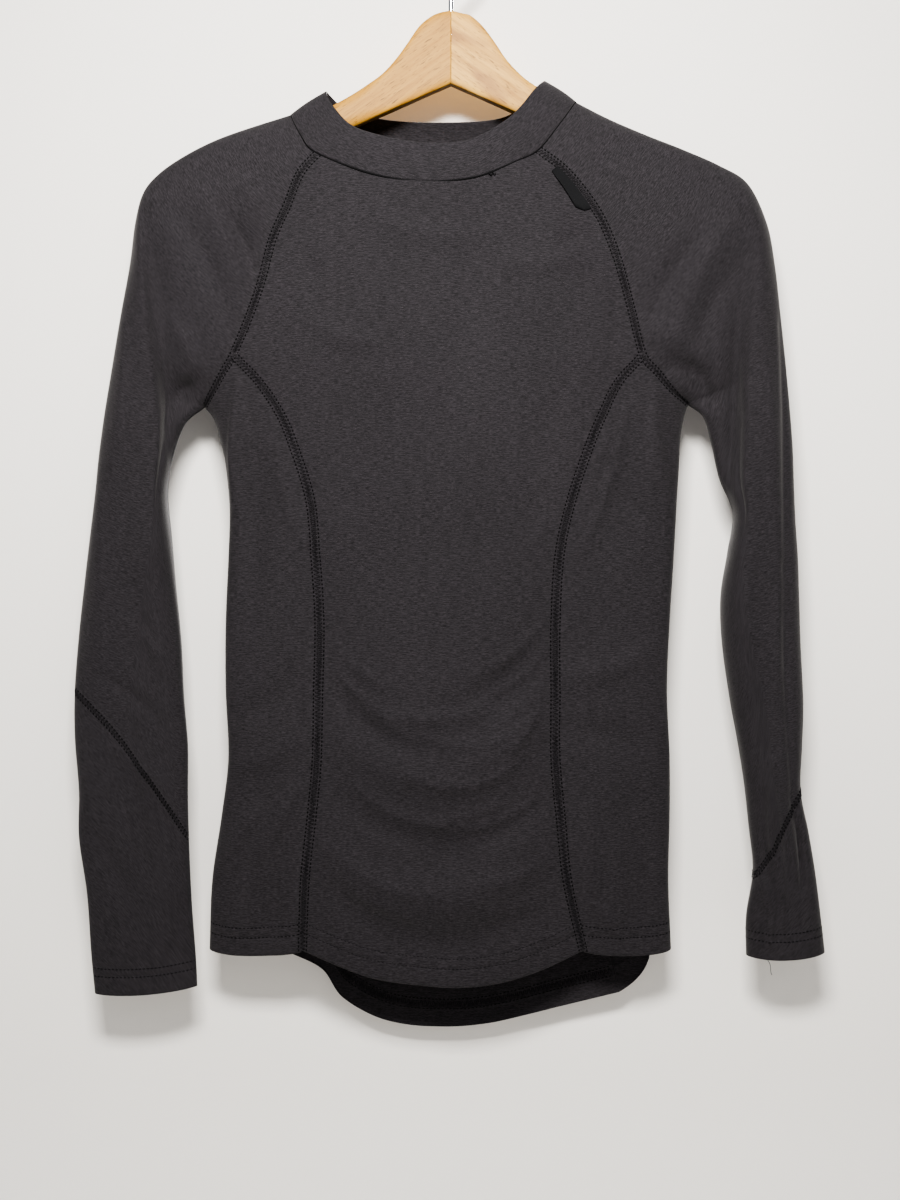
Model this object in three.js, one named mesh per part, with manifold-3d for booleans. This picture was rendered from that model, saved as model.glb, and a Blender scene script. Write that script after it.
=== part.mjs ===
// Long-sleeved base layer top hanging on a contoured wooden hanger.
// Millimetres. +X is the viewer's right, the front faces -Y, +Z is up.
// The origin is the inside top of the hook, where a rail carries the hanger.
import * as THREE from 'three';
import { mergeVertices } from 'three/addons/utils/BufferGeometryUtils.js';
import Module from 'manifold-3d';

// Driving dimensions
const JERSEY_WALL = 1.4;
const BAND_WALL = 2.4;
const TAB_WALL = 1.6;
const SEAM_INSET = 0.25;
const ARMHOLE_INSET = 0.9;
const RIDGE_POWER = 0.33;
const UNDERARM_POWER = 1.3;
const TAB_LIFT = 0.6;
const ARM_HALF_THICKNESS = 6.5;
const MITRE_HALF_GAP = 0.15;
const HOOK_WIRE_RADIUS = 1.9;
const HOOK_INNER_RADIUS = 19;
const HOOK_HOLE_RADIUS = 2.2;
const HOOK_FOOT = -84;
const HOLE_BOTTOM = -84.3;

// Resolution of the panels, in steps
const STEPS = {
  raglanUpper: 9,
  raglanLower: 5,
  body: 16,
  frontAcross: 14,
  foldHalf: 8,
  sleeveTube: 11,
  forearm: 8,
  bandHeight: 3,
  tabLength: 8,
  tabWidth: 2,
};

function table(columns, rows) {
  return rows.map((row) => Object.fromEntries(columns.map((name, k) => [name, row[k]])));
}

// Neckband round the neck, from the viewer's left shoulder by the front to the back.
// Each row gives the folded top edge and the seam below it.
const NECKBAND = table(
  ['topX', 'topZ', 'topY', 'seamX', 'seamZ', 'seamY'],
  [
    [-93, -123, -2, -119, -140, -2],
    [-87, -137, -13, -110, -160, -15],
    [-72, -154, -22, -98, -174, -24],
    [-45, -164, -29, -58, -191, -31],
    [-15, -169, -32, -20, -197, -34],
    [14, -166, -31, 17, -194, -33],
    [38, -152, -26, 48, -181, -29],
    [51, -139, -20, 64, -171, -22],
    [63, -123, -14, 81, -149, -16],
    [70, -115, 0, 93, -130, 0],
    [60, -124, 13, 84, -146, 15],
    [37, -136, 21, 53, -160, 26],
    [-7, -138, 25, -7, -166, 30],
    [-50, -137, 21, -66, -160, 26],
    [-80, -131, 12, -107, -148, 15],
  ],
);
// Rows of the neckband where the raglan seams and the shoulder ridges meet it
const BAND_PLACES = {
  left: { front: 2, ridge: 0, back: -2 },
  right: { front: 7, ridge: 9, back: 11 },
};

// Raglan seams from the neckband to the underarm. Row 6 is where the body seam joins.
const RAGLAN_COLUMNS = ['frontX', 'frontZ', 'front', 'backX', 'backZ', 'back'];
const RAGLAN = {
  left: table(RAGLAN_COLUMNS, [
    [-98, -174, 24, -66, -160, 26],
    [-111, -189, 24, -84, -184, 26],
    [-121, -213, 23, -100, -210, 25],
    [-132, -238, 22, -115, -237, 24],
    [-140, -268, 21, -130, -266, 22],
    [-150, -296, 20, -145, -294, 20],
    [-161, -321, 18, -159, -321, 16],
    [-169, -334, 15, -168, -334, 13],
    [-177, -347, 10, -177, -347, 8],
    [-185, -358, 1, -185, -358, 1],
  ]),
  right: table(RAGLAN_COLUMNS, [
    [64, -171, 22, 53, -160, 26],
    [82, -185, 24, 72, -184, 26],
    [97, -202, 24, 88, -210, 25],
    [111, -223, 23, 102, -237, 24],
    [123, -252, 22, 116, -266, 22],
    [133, -287, 20, 130, -294, 20],
    [142, -321, 18, 143, -321, 16],
    [153, -334, 15, 154, -334, 13],
    [165, -347, 10, 166, -347, 8],
    [178, -356, 1, 178, -356, 1],
  ]),
};
const BODY_SEAM_ROW = 6;
const UNDERARM_ROW = 9;

// Body below the raglan seams: seams and sides at each level, and how far the cloth
// stands before and behind the hanger's plane.
const BODY = table(
  [
    'seamZ', 'leftSeam', 'rightSeam', 'sideZ', 'leftSide', 'rightSide',
    'backLeftSeam', 'backRightSeam', 'seamFront', 'middleFront', 'seamBack', 'middleBack',
  ],
  [
    [-321, -161, 142, -357, -185, 178, -159, 143, 18, 31, 16, 26],
    [-341, -142, 124, -368, -177, 174, -142, 128, 20, 31, 17, 26],
    [-365, -126, 112, -384, -172, 171, -128, 116, 21, 31, 18, 25],
    [-389, -116, 102, -402, -168, 170, -117, 106, 22, 31, 18, 25],
    [-428, -104, 89, -435, -165, 168, -106, 95, 22, 30, 18, 24],
    [-469, -100, 80, -472, -166, 166, -101, 88, 22, 28, 18, 23],
    [-520, -97, 77, -520, -168, 163, -98, 84, 21, 27, 18, 22],
    [-570, -98, 77, -570, -168, 161, -98, 84, 21, 27, 18, 22],
    [-620, -99, 77, -620, -166, 163, -100, 88, 21, 27, 18, 22],
    [-664, -103, 81, -664, -171, 163, -106, 98, 21, 28, 18, 22],
    [-710, -108, 86, -712, -178, 162, -116, 112, 20, 28, 18, 22],
    [-762, -110, 98, -763, -180, 164, -125, 128, 18, 26, 18, 21],
  ],
);

// Hems, from the viewer's left seam to the right seam
const HEM_COLUMNS = ['x', 'z'];
const FRONT_HEM = table(HEM_COLUMNS, [
  [-110, -762], [-80, -774], [-55, -782], [-25, -786],
  [5, -788], [35, -785], [66, -776], [98, -762],
]);
const BACK_HEM = table(HEM_COLUMNS, [
  [-125, -770], [-98, -784], [-82, -806], [-50, -823],
  [-10, -828], [30, -825], [80, -813], [128, -801],
]);
const SIDE_HEM_DIP = 4;
// How late in the body's length the level rows turn into the shaped hem
const HEM_POWER = 6;

// Sleeves by rows from the neckband to the cuff: the outer edge, how far the cloth bulges
// before and behind it, how far the section has closed to a tube, where across the front
// the lengthwise fold stands, and how deep the cloth steps back beside it.
const SLEEVE_COLUMNS = ['x', 'z', 'y', 'front', 'back', 'closed', 'fold', 'step'];
const SLEEVE_OUTER = {
  left: table(SLEEVE_COLUMNS, [
    [-119, -140, -2, 0, 0, 0, 0.5, 0],
    [-148, -150, -3, 2, 2, 0, 0.5, 0],
    [-177, -161, -4, 3, 3, 0, 0.55, 0],
    [-200, -173, -5, 4, 4, 0, 0.62, 0],
    [-218, -186, -6, 5, 5, 0.1, 0.72, 0],
    [-229, -200, -7, 7, 7, 0.2, 0.85, 0],
    [-235, -222, -7, 10, 9, 0.35, 0.9, 0.15],
    [-239, -253, -7, 14, 11, 0.5, 0.82, 0.35],
    [-246, -292, -7, 18, 13, 0.7, 0.62, 0.45],
    [-253, -335, -7, 21, 15, 0.9, 0.47, 0.5],
    [-258, -366, -7, 22, 17, 1, 0.27, 0.5],
    [-262, -396, -7, 22, 18, 1, 0.14, 0.4],
    [-265, -426, -7, 21, 18, 1, 0.12, 0.15],
    [-269, -459, -7, 20, 17, 1, 0.18, 0],
    [-273, -493, -7, 18, 16, 1, 0.3, 0],
    [-277, -530, -7, 16, 15, 1, 0.4, 0],
    [-280, -570, -7, 14, 13, 1, 0.45, 0],
    [-280, -606, -7, 12, 12, 1, 0.5, 0],
    [-277, -645, -7, 11, 11, 1, 0.5, 0],
    [-277, -680, -7, 10, 10, 1, 0.5, 0],
    [-271, -722, -7, 9, 9, 1, 0.5, 0],
    [-268, -765, -7, 8, 8, 1, 0.5, 0],
    [-265, -796, -7, 8, 8, 1, 0.5, 0],
  ]),
  right: table(SLEEVE_COLUMNS, [
    [93, -130, 0, 0, 0, 0, 0.5, 0],
    [119, -144, 0, 2, 2, 0, 0.5, 0],
    [146, -156, -1, 3, 3, 0, 0.55, 0],
    [173, -167, -3, 4, 4, 0, 0.62, 0],
    [200, -179, -4, 5, 5, 0.1, 0.72, 0],
    [221, -193, -6, 7, 7, 0.2, 0.85, 0],
    [235, -222, -7, 10, 9, 0.35, 0.9, 0.1],
    [241, -253, -7, 14, 11, 0.5, 0.83, 0.3],
    [245, -289, -7, 18, 13, 0.7, 0.7, 0.4],
    [249, -328, -7, 21, 15, 0.9, 0.58, 0.45],
    [252, -362, -7, 23, 17, 1, 0.47, 0.5],
    [254, -390, -7, 24, 19, 1, 0.37, 0.5],
    [255, -418, -7, 24, 20, 1, 0.27, 0.4],
    [256, -443, -7, 24, 20, 1, 0.15, 0.2],
    [258, -472, -7, 23, 20, 1, 0.15, 0],
    [259, -503, -7, 22, 20, 1, 0.22, 0],
    [260, -536, -7, 21, 19, 1, 0.3, 0],
    [262, -580, -7, 20, 18, 1, 0.4, 0],
    [261, -612, -7, 19, 17, 1, 0.45, 0],
    [260, -645, -7, 17, 16, 1, 0.45, 0],
    [266, -676, -7, 15, 15, 1, 0.45, 0],
    [271, -706, -7, 14, 14, 1, 0.5, 0],
    [275, -738, -7, 14, 14, 1, 0.5, 0],
    [278, -765, -7, 15, 15, 1, 0.5, 0],
  ]),
};
// Inner edges of the sleeves, from the underarm row down
const SLEEVE_INNER = {
  left: table(HEM_COLUMNS, [
    [-185, -358], [-199, -371], [-208, -395], [-212, -422], [-209, -457],
    [-206, -492], [-202, -533], [-200, -574], [-197, -612], [-197, -650],
    [-196, -688], [-194, -730], [-191, -770], [-190, -791],
  ]),
  right: table(HEM_COLUMNS, [
    [178, -356], [189, -366], [195, -386], [201, -412], [211, -438],
    [207, -468], [202, -500], [203, -535], [209, -578], [214, -605],
    [219, -636], [223, -672], [226, -705], [221, -739], [221, -768],
  ]),
};
const SLEEVE_INNER_Y = -5;
const FOREARM_SEAM = {
  left: { outer: 16, inner: 18.8, bow: -0.25 },
  right: { outer: 19, inner: 21.1, bow: 0 },
};
const CUFF_DIP = 2.5;

// Large soft folds of the body: a line from one end to the other, how far it bows,
// its half width, and its height towards the viewer, or away where it is negative.
const FOLD_COLUMNS = ['x0', 'z0', 'x1', 'z1', 'bow', 'width', 'height'];
const FRONT_FOLDS = table(FOLD_COLUMNS, [
  [-92, -560, -10, -625, -10, 14, -1.8],
  [72, -530, 8, -585, 8, 14, -2],
  [66, -575, 30, -615, 6, 12, 1.6],
  [-90, -600, 68, -600, -30, 16, 2],
  [-88, -650, 70, -650, -38, 18, -2.2],
  [-90, -690, 74, -690, -34, 18, 2],
  [-92, -715, 80, -712, -42, 16, -1.8],
  [-60, -330, -80, -420, 6, 22, -1.5],
  [60, -320, 80, -420, -6, 22, -1.5],
]);
const BACK_FOLDS = table(FOLD_COLUMNS, [
  [-90, -520, 70, -540, -22, 18, 2],
  [-86, -580, 72, -590, -26, 18, -2],
  [-70, -640, 80, -650, -24, 18, 1.8],
  [-60, -250, -30, -420, 8, 22, 1.6],
  [60, -250, 30, -420, -8, 22, 1.6],
]);

// Hanger arm, by reach from the mitre: upper edges of both arms, lower edge, forward bend
const HANGER = table(
  ['reach', 'leftTop', 'rightTop', 'bottom', 'forward'],
  [
    [MITRE_HALF_GAP, -62, -62, -117, 0],
    [8, -63.5, -64, -120.5, 0],
    [15, -66.5, -66, -123.5, 0],
    [24, -74, -74, -127.5, 0],
    [33, -87, -86, -131.5, 0],
    [41, -98, -98, -135, 0],
    [50, -108, -108, -139, 0],
    [60, -115.5, -116, -143.5, -0.3],
    [82, -129, -128.5, -153, -0.4],
    [110, -143, -146, -163.5, -1],
    [135, -153, -158, -173, -2],
    [160, -162, -168, -182.5, -3.2],
    [185, -172, -179, -191, -4.6],
    [200, -180, -186, -197, -5.6],
    [206, -184, -189, -197, -6],
  ],
);

const clamp = THREE.MathUtils.clamp;
const lerp = THREE.MathUtils.lerp;
const SIDE_SIGN = { left: -1, right: 1 };

// Smooth curve through one column of a table, at a row that may be a fraction.
function sample(rows, column, row) {
  const last = rows.length - 1;
  const k = clamp(Math.floor(row), 0, last - 1);
  const f = row - k;
  const b = rows[k][column];
  const c = rows[k + 1][column];
  const a = k > 0 ? rows[k - 1][column] : 2 * b - c;
  const d = k + 2 <= last ? rows[k + 2][column] : 2 * c - b;
  return b + 0.5 * f * (c - a + f * (2 * a - 5 * b + 4 * c - d + f * (3 * (b - c) + d - a)));
}

// The same on the closed ring of the neckband.
function sampleRing(rows, column, row) {
  const count = rows.length;
  const k = Math.floor(row);
  const f = row - k;
  const at = (n) => rows[(((k + n) % count) + count) % count][column];
  const [a, b, c, d] = [at(-1), at(0), at(1), at(2)];
  return b + 0.5 * f * (c - a + f * (2 * a - 5 * b + 4 * c - d + f * (3 * (b - c) + d - a)));
}

function bandSeam(row) {
  return new THREE.Vector3(
    sampleRing(NECKBAND, 'seamX', row),
    sampleRing(NECKBAND, 'seamY', row),
    sampleRing(NECKBAND, 'seamZ', row),
  );
}

function bandTop(row) {
  return new THREE.Vector3(
    sampleRing(NECKBAND, 'topX', row),
    sampleRing(NECKBAND, 'topY', row),
    sampleRing(NECKBAND, 'topZ', row),
  );
}

// Point of a raglan seam. The face is 'front' or 'back'.
function raglan(side, face, row) {
  const rows = RAGLAN[side];
  const depth = sample(rows, face, row) * (face === 'front' ? -1 : 1);
  return new THREE.Vector3(
    sample(rows, `${face}X`, row),
    depth,
    sample(rows, `${face}Z`, row),
  );
}

// Point of a shaped body seam. The level is a row of the body table.
function bodySeam(side, face, level) {
  const name = face === 'front' ? `${side}Seam` : `back${side === 'left' ? 'Left' : 'Right'}Seam`;
  const depth = sample(BODY, face === 'front' ? 'seamFront' : 'seamBack', level);
  return new THREE.Vector3(
    sample(BODY, name, level),
    face === 'front' ? -depth : depth,
    sample(BODY, 'seamZ', level),
  );
}

function bodySide(side, level) {
  return new THREE.Vector3(
    sample(BODY, `${side}Side`, level),
    -3,
    sample(BODY, 'sideZ', level),
  );
}

// Height of the large folds at a place of the front or back.
function foldHeight(folds, x, z) {
  return folds.reduce((sum, fold) => {
    const runX = fold.x1 - fold.x0;
    const runZ = fold.z1 - fold.z0;
    const length = Math.hypot(runX, runZ);
    const along = ((x - fold.x0) * runX + (z - fold.z0) * runZ) / (length * length);
    const q = clamp(along, 0, 1);
    const across = ((z - fold.z0) * runX - (x - fold.x0) * runZ) / length;
    const away = across - fold.bow * 4 * q * (1 - q);
    const past = (along - q) * length;
    const fade = Math.exp(-((away / fold.width) ** 2) - (past / fold.width) ** 2);
    return sum + fold.height * fade * Math.sqrt(Math.sin(Math.PI * clamp(q, 0.08, 0.92)));
  }, 0);
}

// Front or back panel. u runs from the left seam to the right seam, and level counts the
// raglan rows first and the body rows after them. The outline is blended between its four
// edges, and the depth between the seams and the middle.
function panelPoint(face, u, level) {
  const upper = Math.min(level, BODY_SEAM_ROW);
  const lower = Math.max(level - BODY_SEAM_ROW, 0);
  const edge = (side) => (level <= BODY_SEAM_ROW
    ? raglan(side, face, upper)
    : bodySeam(side, face, lower));
  const left = edge('left');
  const right = edge('right');
  const bodyRows = BODY.length - 1;
  const v = level / (BODY_SEAM_ROW + bodyRows);
  const point = left.clone().lerp(right, u);

  const bandLeft = face === 'front' ? BAND_PLACES.left.front : BAND_PLACES.left.back;
  const bandRight = BAND_PLACES.right[face];
  const turn = face === 'front' ? 0 : NECKBAND.length;
  const neck = bandSeam(lerp(bandLeft + turn, bandRight, u));
  const neckLeft = bandSeam(bandLeft + turn);
  const neckRight = bandSeam(bandRight);
  const neckLine = neckLeft.clone().lerp(neckRight, u);
  const neckShare = (1 - v) ** 3;
  point.x += neckShare * (neck.x - neckLine.x);
  point.z += neckShare * (neck.z - neckLine.z);

  const hem = face === 'front' ? FRONT_HEM : BACK_HEM;
  const hemRow = u * (hem.length - 1);
  const hemShare = (lower / bodyRows) ** HEM_POWER;
  const hemLeft = bodySeam('left', face, bodyRows);
  const hemRight = bodySeam('right', face, bodyRows);
  point.x += hemShare * (sample(hem, 'x', hemRow) - lerp(hemLeft.x, hemRight.x, u));
  point.z += hemShare * (sample(hem, 'z', hemRow) - lerp(hemLeft.z, hemRight.z, u));

  const middleColumn = face === 'front' ? 'middleFront' : 'middleBack';
  const middle = sample(BODY, middleColumn, lower);
  const outward = face === 'front' ? -1 : 1;
  const seamDepth = point.y * outward;
  const shape = 1 - Math.abs(2 * u - 1) ** 2.4;
  let depth = seamDepth + (middle - seamDepth) * shape;
  const topSeam = lerp(neckLeft.y, neckRight.y, u) * outward;
  const topDepth = topSeam + (sample(BODY, middleColumn, 0) - topSeam) * shape;
  depth += neckShare * (neck.y * outward - topDepth);
  const folds = face === 'front' ? FRONT_FOLDS : BACK_FOLDS;
  depth += foldHeight(folds, point.x, point.z) * Math.min(1, 6 * Math.min(u, 1 - u));
  point.y = depth * outward;
  return point;
}

// How far across a row a column stands, with the lengthwise fold on its middle column.
function acrossRow(column, fold) {
  const half = Math.PI / 2;
  return column < 0.5
    ? fold * (1 - Math.cos(2 * column * half))
    : fold + (1 - fold) * Math.sin((2 * column - 1) * half);
}

// Bulge of a section: two quarter ovals that meet on the fold, and a step beside it.
function bulge(column, closed, step) {
  const rise = column < 0.5 ? Math.cos(Math.PI * column) : Math.sin(Math.PI * (column - 0.5));
  const tube = (1 - Math.abs(rise) ** 2.2) ** (1 / 2.2);
  const open = Math.sin(Math.PI * column) ** 2;
  const beside = column < 0.5 ? 1 - step * (1 - THREE.MathUtils.smoothstep(column, 0.34, 0.5)) : 1;
  return lerp(open, tube, closed) * beside;
}

// Cloth folded round an edge: from the front seam over the ridge to the back seam.
function foldAround(front, ridge, back, turn, form) {
  const onFront = turn <= 1;
  const column = onFront ? turn : 2 - turn;
  const seam = onFront ? front : back;
  const fold = onFront ? form.fold : 0.5;
  const step = onFront ? form.step : 0;
  const across = acrossRow(column, fold);
  const point = seam.clone().lerp(ridge, across);
  const swell = bulge(column, form.closed, step) * (onFront ? -form.front : form.back);
  point.y = ridge.y + (seam.y - ridge.y) * (1 - across) ** form.power + swell;
  return point;
}

const SIDE_FORM = { front: 2, back: 2, closed: 0, fold: 0.5, step: 0, power: RIDGE_POWER };
// The dropped tail runs on into the side panel's back, between these columns.
const TAIL_REACH = 0.6;

// Side panel. turn runs 0 to 2 round the side, and level is a row of the body table.
function sidePoint(side, turn, level) {
  const front = bodySeam(side, 'front', level);
  const back = bodySeam(side, 'back', level);
  const ridge = bodySide(side, level);
  const bodyRows = BODY.length - 1;
  const point = foldAround(front, ridge, back, turn, SIDE_FORM);
  const onFront = turn <= 1;
  const column = onFront ? turn : 2 - turn;

  const armhole = raglan(
    side,
    onFront ? 'front' : 'back',
    BODY_SEAM_ROW + (UNDERARM_ROW - BODY_SEAM_ROW) * column,
  );
  const top = foldAround(
    bodySeam(side, 'front', 0),
    bodySide(side, 0),
    bodySeam(side, 'back', 0),
    turn,
    SIDE_FORM,
  );
  point.add(armhole.sub(top).multiplyScalar(Math.max(0, 1 - level / 3) ** 2));

  const hemShare = (level / bodyRows) ** HEM_POWER;
  const dip = SIDE_HEM_DIP * Math.sin(Math.PI * column);
  const backHem = BACK_HEM[side === 'left' ? 0 : BACK_HEM.length - 1];
  const tailShare = Math.sqrt(1 - Math.min(column / TAIL_REACH, 1) ** 2);
  const backDrop = (backHem.z - sample(BODY, 'seamZ', bodyRows)) * tailShare;
  point.z += hemShare * (onFront ? -dip : backDrop);
  return point;
}

function sleeveForm(side, row) {
  const rows = SLEEVE_OUTER[side];
  return {
    front: sample(rows, 'front', row),
    back: sample(rows, 'back', row),
    closed: clamp(sample(rows, 'closed', row), 0, 1),
    fold: clamp(sample(rows, 'fold', row), 0.1, 0.92),
    step: clamp(sample(rows, 'step', row), 0, 1),
    power: lerp(RIDGE_POWER, UNDERARM_POWER, THREE.MathUtils.smoothstep(row, 5, UNDERARM_ROW)),
  };
}

// Where a sleeve row starts: on the raglan seam, or on the inner edge below the underarm.
function sleeveStart(side, face, row) {
  if (row <= UNDERARM_ROW) {
    return raglan(side, face, row);
  }
  const inner = SLEEVE_INNER[side];
  const below = row - UNDERARM_ROW;
  const settle = Math.min(below, 1);
  const seamY = face === 'front' ? -1 : 1;
  return new THREE.Vector3(
    sample(inner, 'x', below),
    lerp(seamY, SLEEVE_INNER_Y, settle),
    sample(inner, 'z', below),
  );
}

// Sleeve. turn runs 0 to 2 from the front seam round the outer edge to the back seam.
function sleevePoint(side, turn, row) {
  const rows = SLEEVE_OUTER[side];
  const ridge = new THREE.Vector3(
    sample(rows, 'x', row),
    sample(rows, 'y', row),
    sample(rows, 'z', row),
  );
  const form = sleeveForm(side, row);
  const front = sleeveStart(side, 'front', row);
  const back = sleeveStart(side, 'back', row);
  const point = foldAround(front, ridge, back, turn, form);

  const neckShare = Math.max(0, 1 - row / 2) ** 2;
  if (neckShare > 0) {
    const places = BAND_PLACES[side];
    const bandRow = turn <= 1
      ? lerp(places.front, places.ridge, turn)
      : lerp(places.ridge, places.back, turn - 1);
    const top = foldAround(
      raglan(side, 'front', 0),
      bandSeam(places.ridge),
      raglan(side, 'back', 0),
      turn,
      sleeveForm(side, 0),
    );
    point.add(bandSeam(bandRow).sub(top).multiplyScalar(neckShare));
  }
  return point;
}

// Row of the forearm seam at a place across the sleeve.
function forearmRow(side, turn) {
  const seam = FOREARM_SEAM[side];
  const column = turn <= 1 ? turn : 2 - turn;
  const across = acrossRow(column, 0.5);
  return lerp(seam.inner, seam.outer, across) + seam.bow * Math.sin(Math.PI * across);
}

function forearmPoint(side, turn, share) {
  const last = SLEEVE_OUTER[side].length - 1;
  const point = sleevePoint(side, turn, lerp(forearmRow(side, turn), last, share));
  const column = turn <= 1 ? turn : 2 - turn;
  point.z -= CUFF_DIP * Math.sin(Math.PI * column) ** 2 * share ** 6;
  return point;
}

// Closed wall on a grid of points, half its thickness to each side of them. The outer rows
// and columns are drawn in, so that neighbouring pieces stay apart at their seams.
function wallGeometry(grid, wall, inset = SEAM_INSET, topInset = inset) {
  const lastRow = grid.length - 1;
  const lastColumn = grid[0].length - 1;
  const points = grid.map((row) => row.map((point) => point.clone()));
  const draw = (point, towards, distance) => {
    const run = towards.clone().sub(point);
    point.add(run.setLength(Math.min(distance, run.length() * 0.4)));
  };
  for (let j = 0; j <= lastColumn; j += 1) {
    draw(points[0][j], grid[1][j], topInset);
    draw(points[lastRow][j], grid[lastRow - 1][j], inset);
  }
  for (let i = 0; i <= lastRow; i += 1) {
    draw(points[i][0], grid[i][1], inset);
    draw(points[i][lastColumn], grid[i][lastColumn - 1], inset);
  }
  const positions = [];
  const place = (layer, i, j) => (layer * (lastRow + 1) + i) * (lastColumn + 1) + j;
  for (const offset of [wall / 2, -wall / 2]) {
    for (let i = 0; i <= lastRow; i += 1) {
      for (let j = 0; j <= lastColumn; j += 1) {
        const along = points[i][Math.min(j + 1, lastColumn)].clone();
        along.sub(points[i][Math.max(j - 1, 0)]);
        const down = points[Math.min(i + 1, lastRow)][j].clone();
        down.sub(points[Math.max(i - 1, 0)][j]);
        const normal = along.cross(down).normalize();
        positions.push(...points[i][j].clone().addScaledVector(normal, offset).toArray());
      }
    }
  }
  const index = [];
  const quad = (a, b, c, d) => index.push(a, b, c, a, c, d);
  for (let i = 0; i < lastRow; i += 1) {
    for (let j = 0; j < lastColumn; j += 1) {
      quad(place(0, i, j), place(0, i, j + 1), place(0, i + 1, j + 1), place(0, i + 1, j));
      quad(place(1, i, j), place(1, i + 1, j), place(1, i + 1, j + 1), place(1, i, j + 1));
    }
  }
  for (let j = 0; j < lastColumn; j += 1) {
    quad(place(1, 0, j), place(1, 0, j + 1), place(0, 0, j + 1), place(0, 0, j));
    quad(
      place(1, lastRow, j),
      place(0, lastRow, j),
      place(0, lastRow, j + 1),
      place(1, lastRow, j + 1),
    );
  }
  for (let i = 0; i < lastRow; i += 1) {
    quad(place(1, i, 0), place(0, i, 0), place(0, i + 1, 0), place(1, i + 1, 0));
    quad(
      place(1, i, lastColumn),
      place(1, i + 1, lastColumn),
      place(0, i + 1, lastColumn),
      place(0, i, lastColumn),
    );
  }
  const geometry = new THREE.BufferGeometry();
  geometry.setAttribute('position', new THREE.Float32BufferAttribute(positions, 3));
  geometry.setIndex(index);
  return geometry;
}

function gridOf(rowValues, columnValues, pointAt) {
  return rowValues.map((row) => columnValues.map((column) => pointAt(column, row)));
}

// Evenly spaced numbers from one value to another, both included.
function spread(from, to, steps) {
  return Array.from({ length: steps + 1 }, (_, k) => lerp(from, to, k / steps));
}

const RAGLAN_UPPER_ROWS = spread(0, BODY_SEAM_ROW, STEPS.raglanUpper);
const RAGLAN_LOWER_ROWS = spread(BODY_SEAM_ROW, UNDERARM_ROW, STEPS.raglanLower).slice(1);
const BODY_LEVELS = spread(0, BODY.length - 1, STEPS.body);
const SIDE_TURNS = spread(0, 2, 2 * STEPS.raglanLower);
const SLEEVE_TURNS = spread(0, 2, 2 * STEPS.foldHalf);

function panelGeometry(face) {
  const levels = [
    ...RAGLAN_UPPER_ROWS,
    ...BODY_LEVELS.slice(1).map((level) => level + BODY_SEAM_ROW),
  ];
  const across = spread(0, 1, STEPS.frontAcross);
  return wallGeometry(gridOf(levels, across, (u, level) => panelPoint(face, u, level)), JERSEY_WALL);
}

function sideGeometry(side) {
  const grid = gridOf(BODY_LEVELS, SIDE_TURNS, (turn, level) => sidePoint(side, turn, level));
  return wallGeometry(grid, JERSEY_WALL, SEAM_INSET, ARMHOLE_INSET);
}

function sleeveGeometry(side) {
  const fan = [...RAGLAN_UPPER_ROWS, ...RAGLAN_LOWER_ROWS];
  const tube = spread(0, 1, STEPS.sleeveTube).slice(1);
  const upper = gridOf(fan, SLEEVE_TURNS, (turn, row) => sleevePoint(side, turn, row));
  const lower = gridOf(tube, SLEEVE_TURNS, (turn, share) => sleevePoint(
    side,
    turn,
    lerp(UNDERARM_ROW, forearmRow(side, turn), share),
  ));
  return wallGeometry([...upper, ...lower], JERSEY_WALL);
}

function forearmGeometry(side) {
  const shares = spread(0, 1, STEPS.forearm);
  const grid = gridOf(shares, SLEEVE_TURNS, (turn, share) => forearmPoint(side, turn, share));
  return wallGeometry(grid, JERSEY_WALL);
}

// The band's columns stand where those of the panels and sleeves do, so the seams match.
function bandRows() {
  const { left, right } = BAND_PLACES;
  const count = NECKBAND.length;
  const front = spread(left.front, right.front, STEPS.frontAcross);
  const rightFront = spread(right.front, right.ridge, STEPS.foldHalf).slice(1);
  const rightBack = spread(right.ridge, right.back, STEPS.foldHalf).slice(1);
  const back = spread(right.back, left.back + count, STEPS.frontAcross).slice(1);
  const leftBack = spread(left.back + count, left.ridge + count, STEPS.foldHalf).slice(1);
  const leftFront = spread(left.ridge + count, left.front + count, STEPS.foldHalf).slice(1);
  return [...front, ...rightFront, ...rightBack, ...back, ...leftBack, ...leftFront];
}

const BAND_SWELL = 1.5;

function bandPoint(row, share) {
  const point = bandTop(row).lerp(bandSeam(row), share);
  const outward = new THREE.Vector3(point.x + 15, point.y * 3, 0).normalize();
  return point.addScaledVector(outward, BAND_SWELL * Math.sin(Math.PI * share));
}

function bandGeometry() {
  const shares = spread(0, 1, STEPS.bandHeight);
  const rows = bandRows();
  const start = rows.indexOf(BAND_PLACES.right.back);
  const count = NECKBAND.length;
  const ordered = [
    ...rows.slice(start, -1),
    ...rows.slice(0, start + 1).map((row) => row + count),
  ];
  return wallGeometry(gridOf(shares, ordered, bandPoint), BAND_WALL);
}

// Folded tape caught in the right raglan seam, laid on the front panel.
const TAB = { topRow: 0.85, bottomRow: 2.55, seamEdge: 0.985, freeEdge: 0.93, slant: 0.12 };

function panelNormal(face, u, level) {
  const small = 0.01;
  const along = panelPoint(face, u + small, level).sub(panelPoint(face, u - small, level));
  const down = panelPoint(face, u, level + small).sub(panelPoint(face, u, level - small));
  return along.cross(down).normalize();
}

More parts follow.
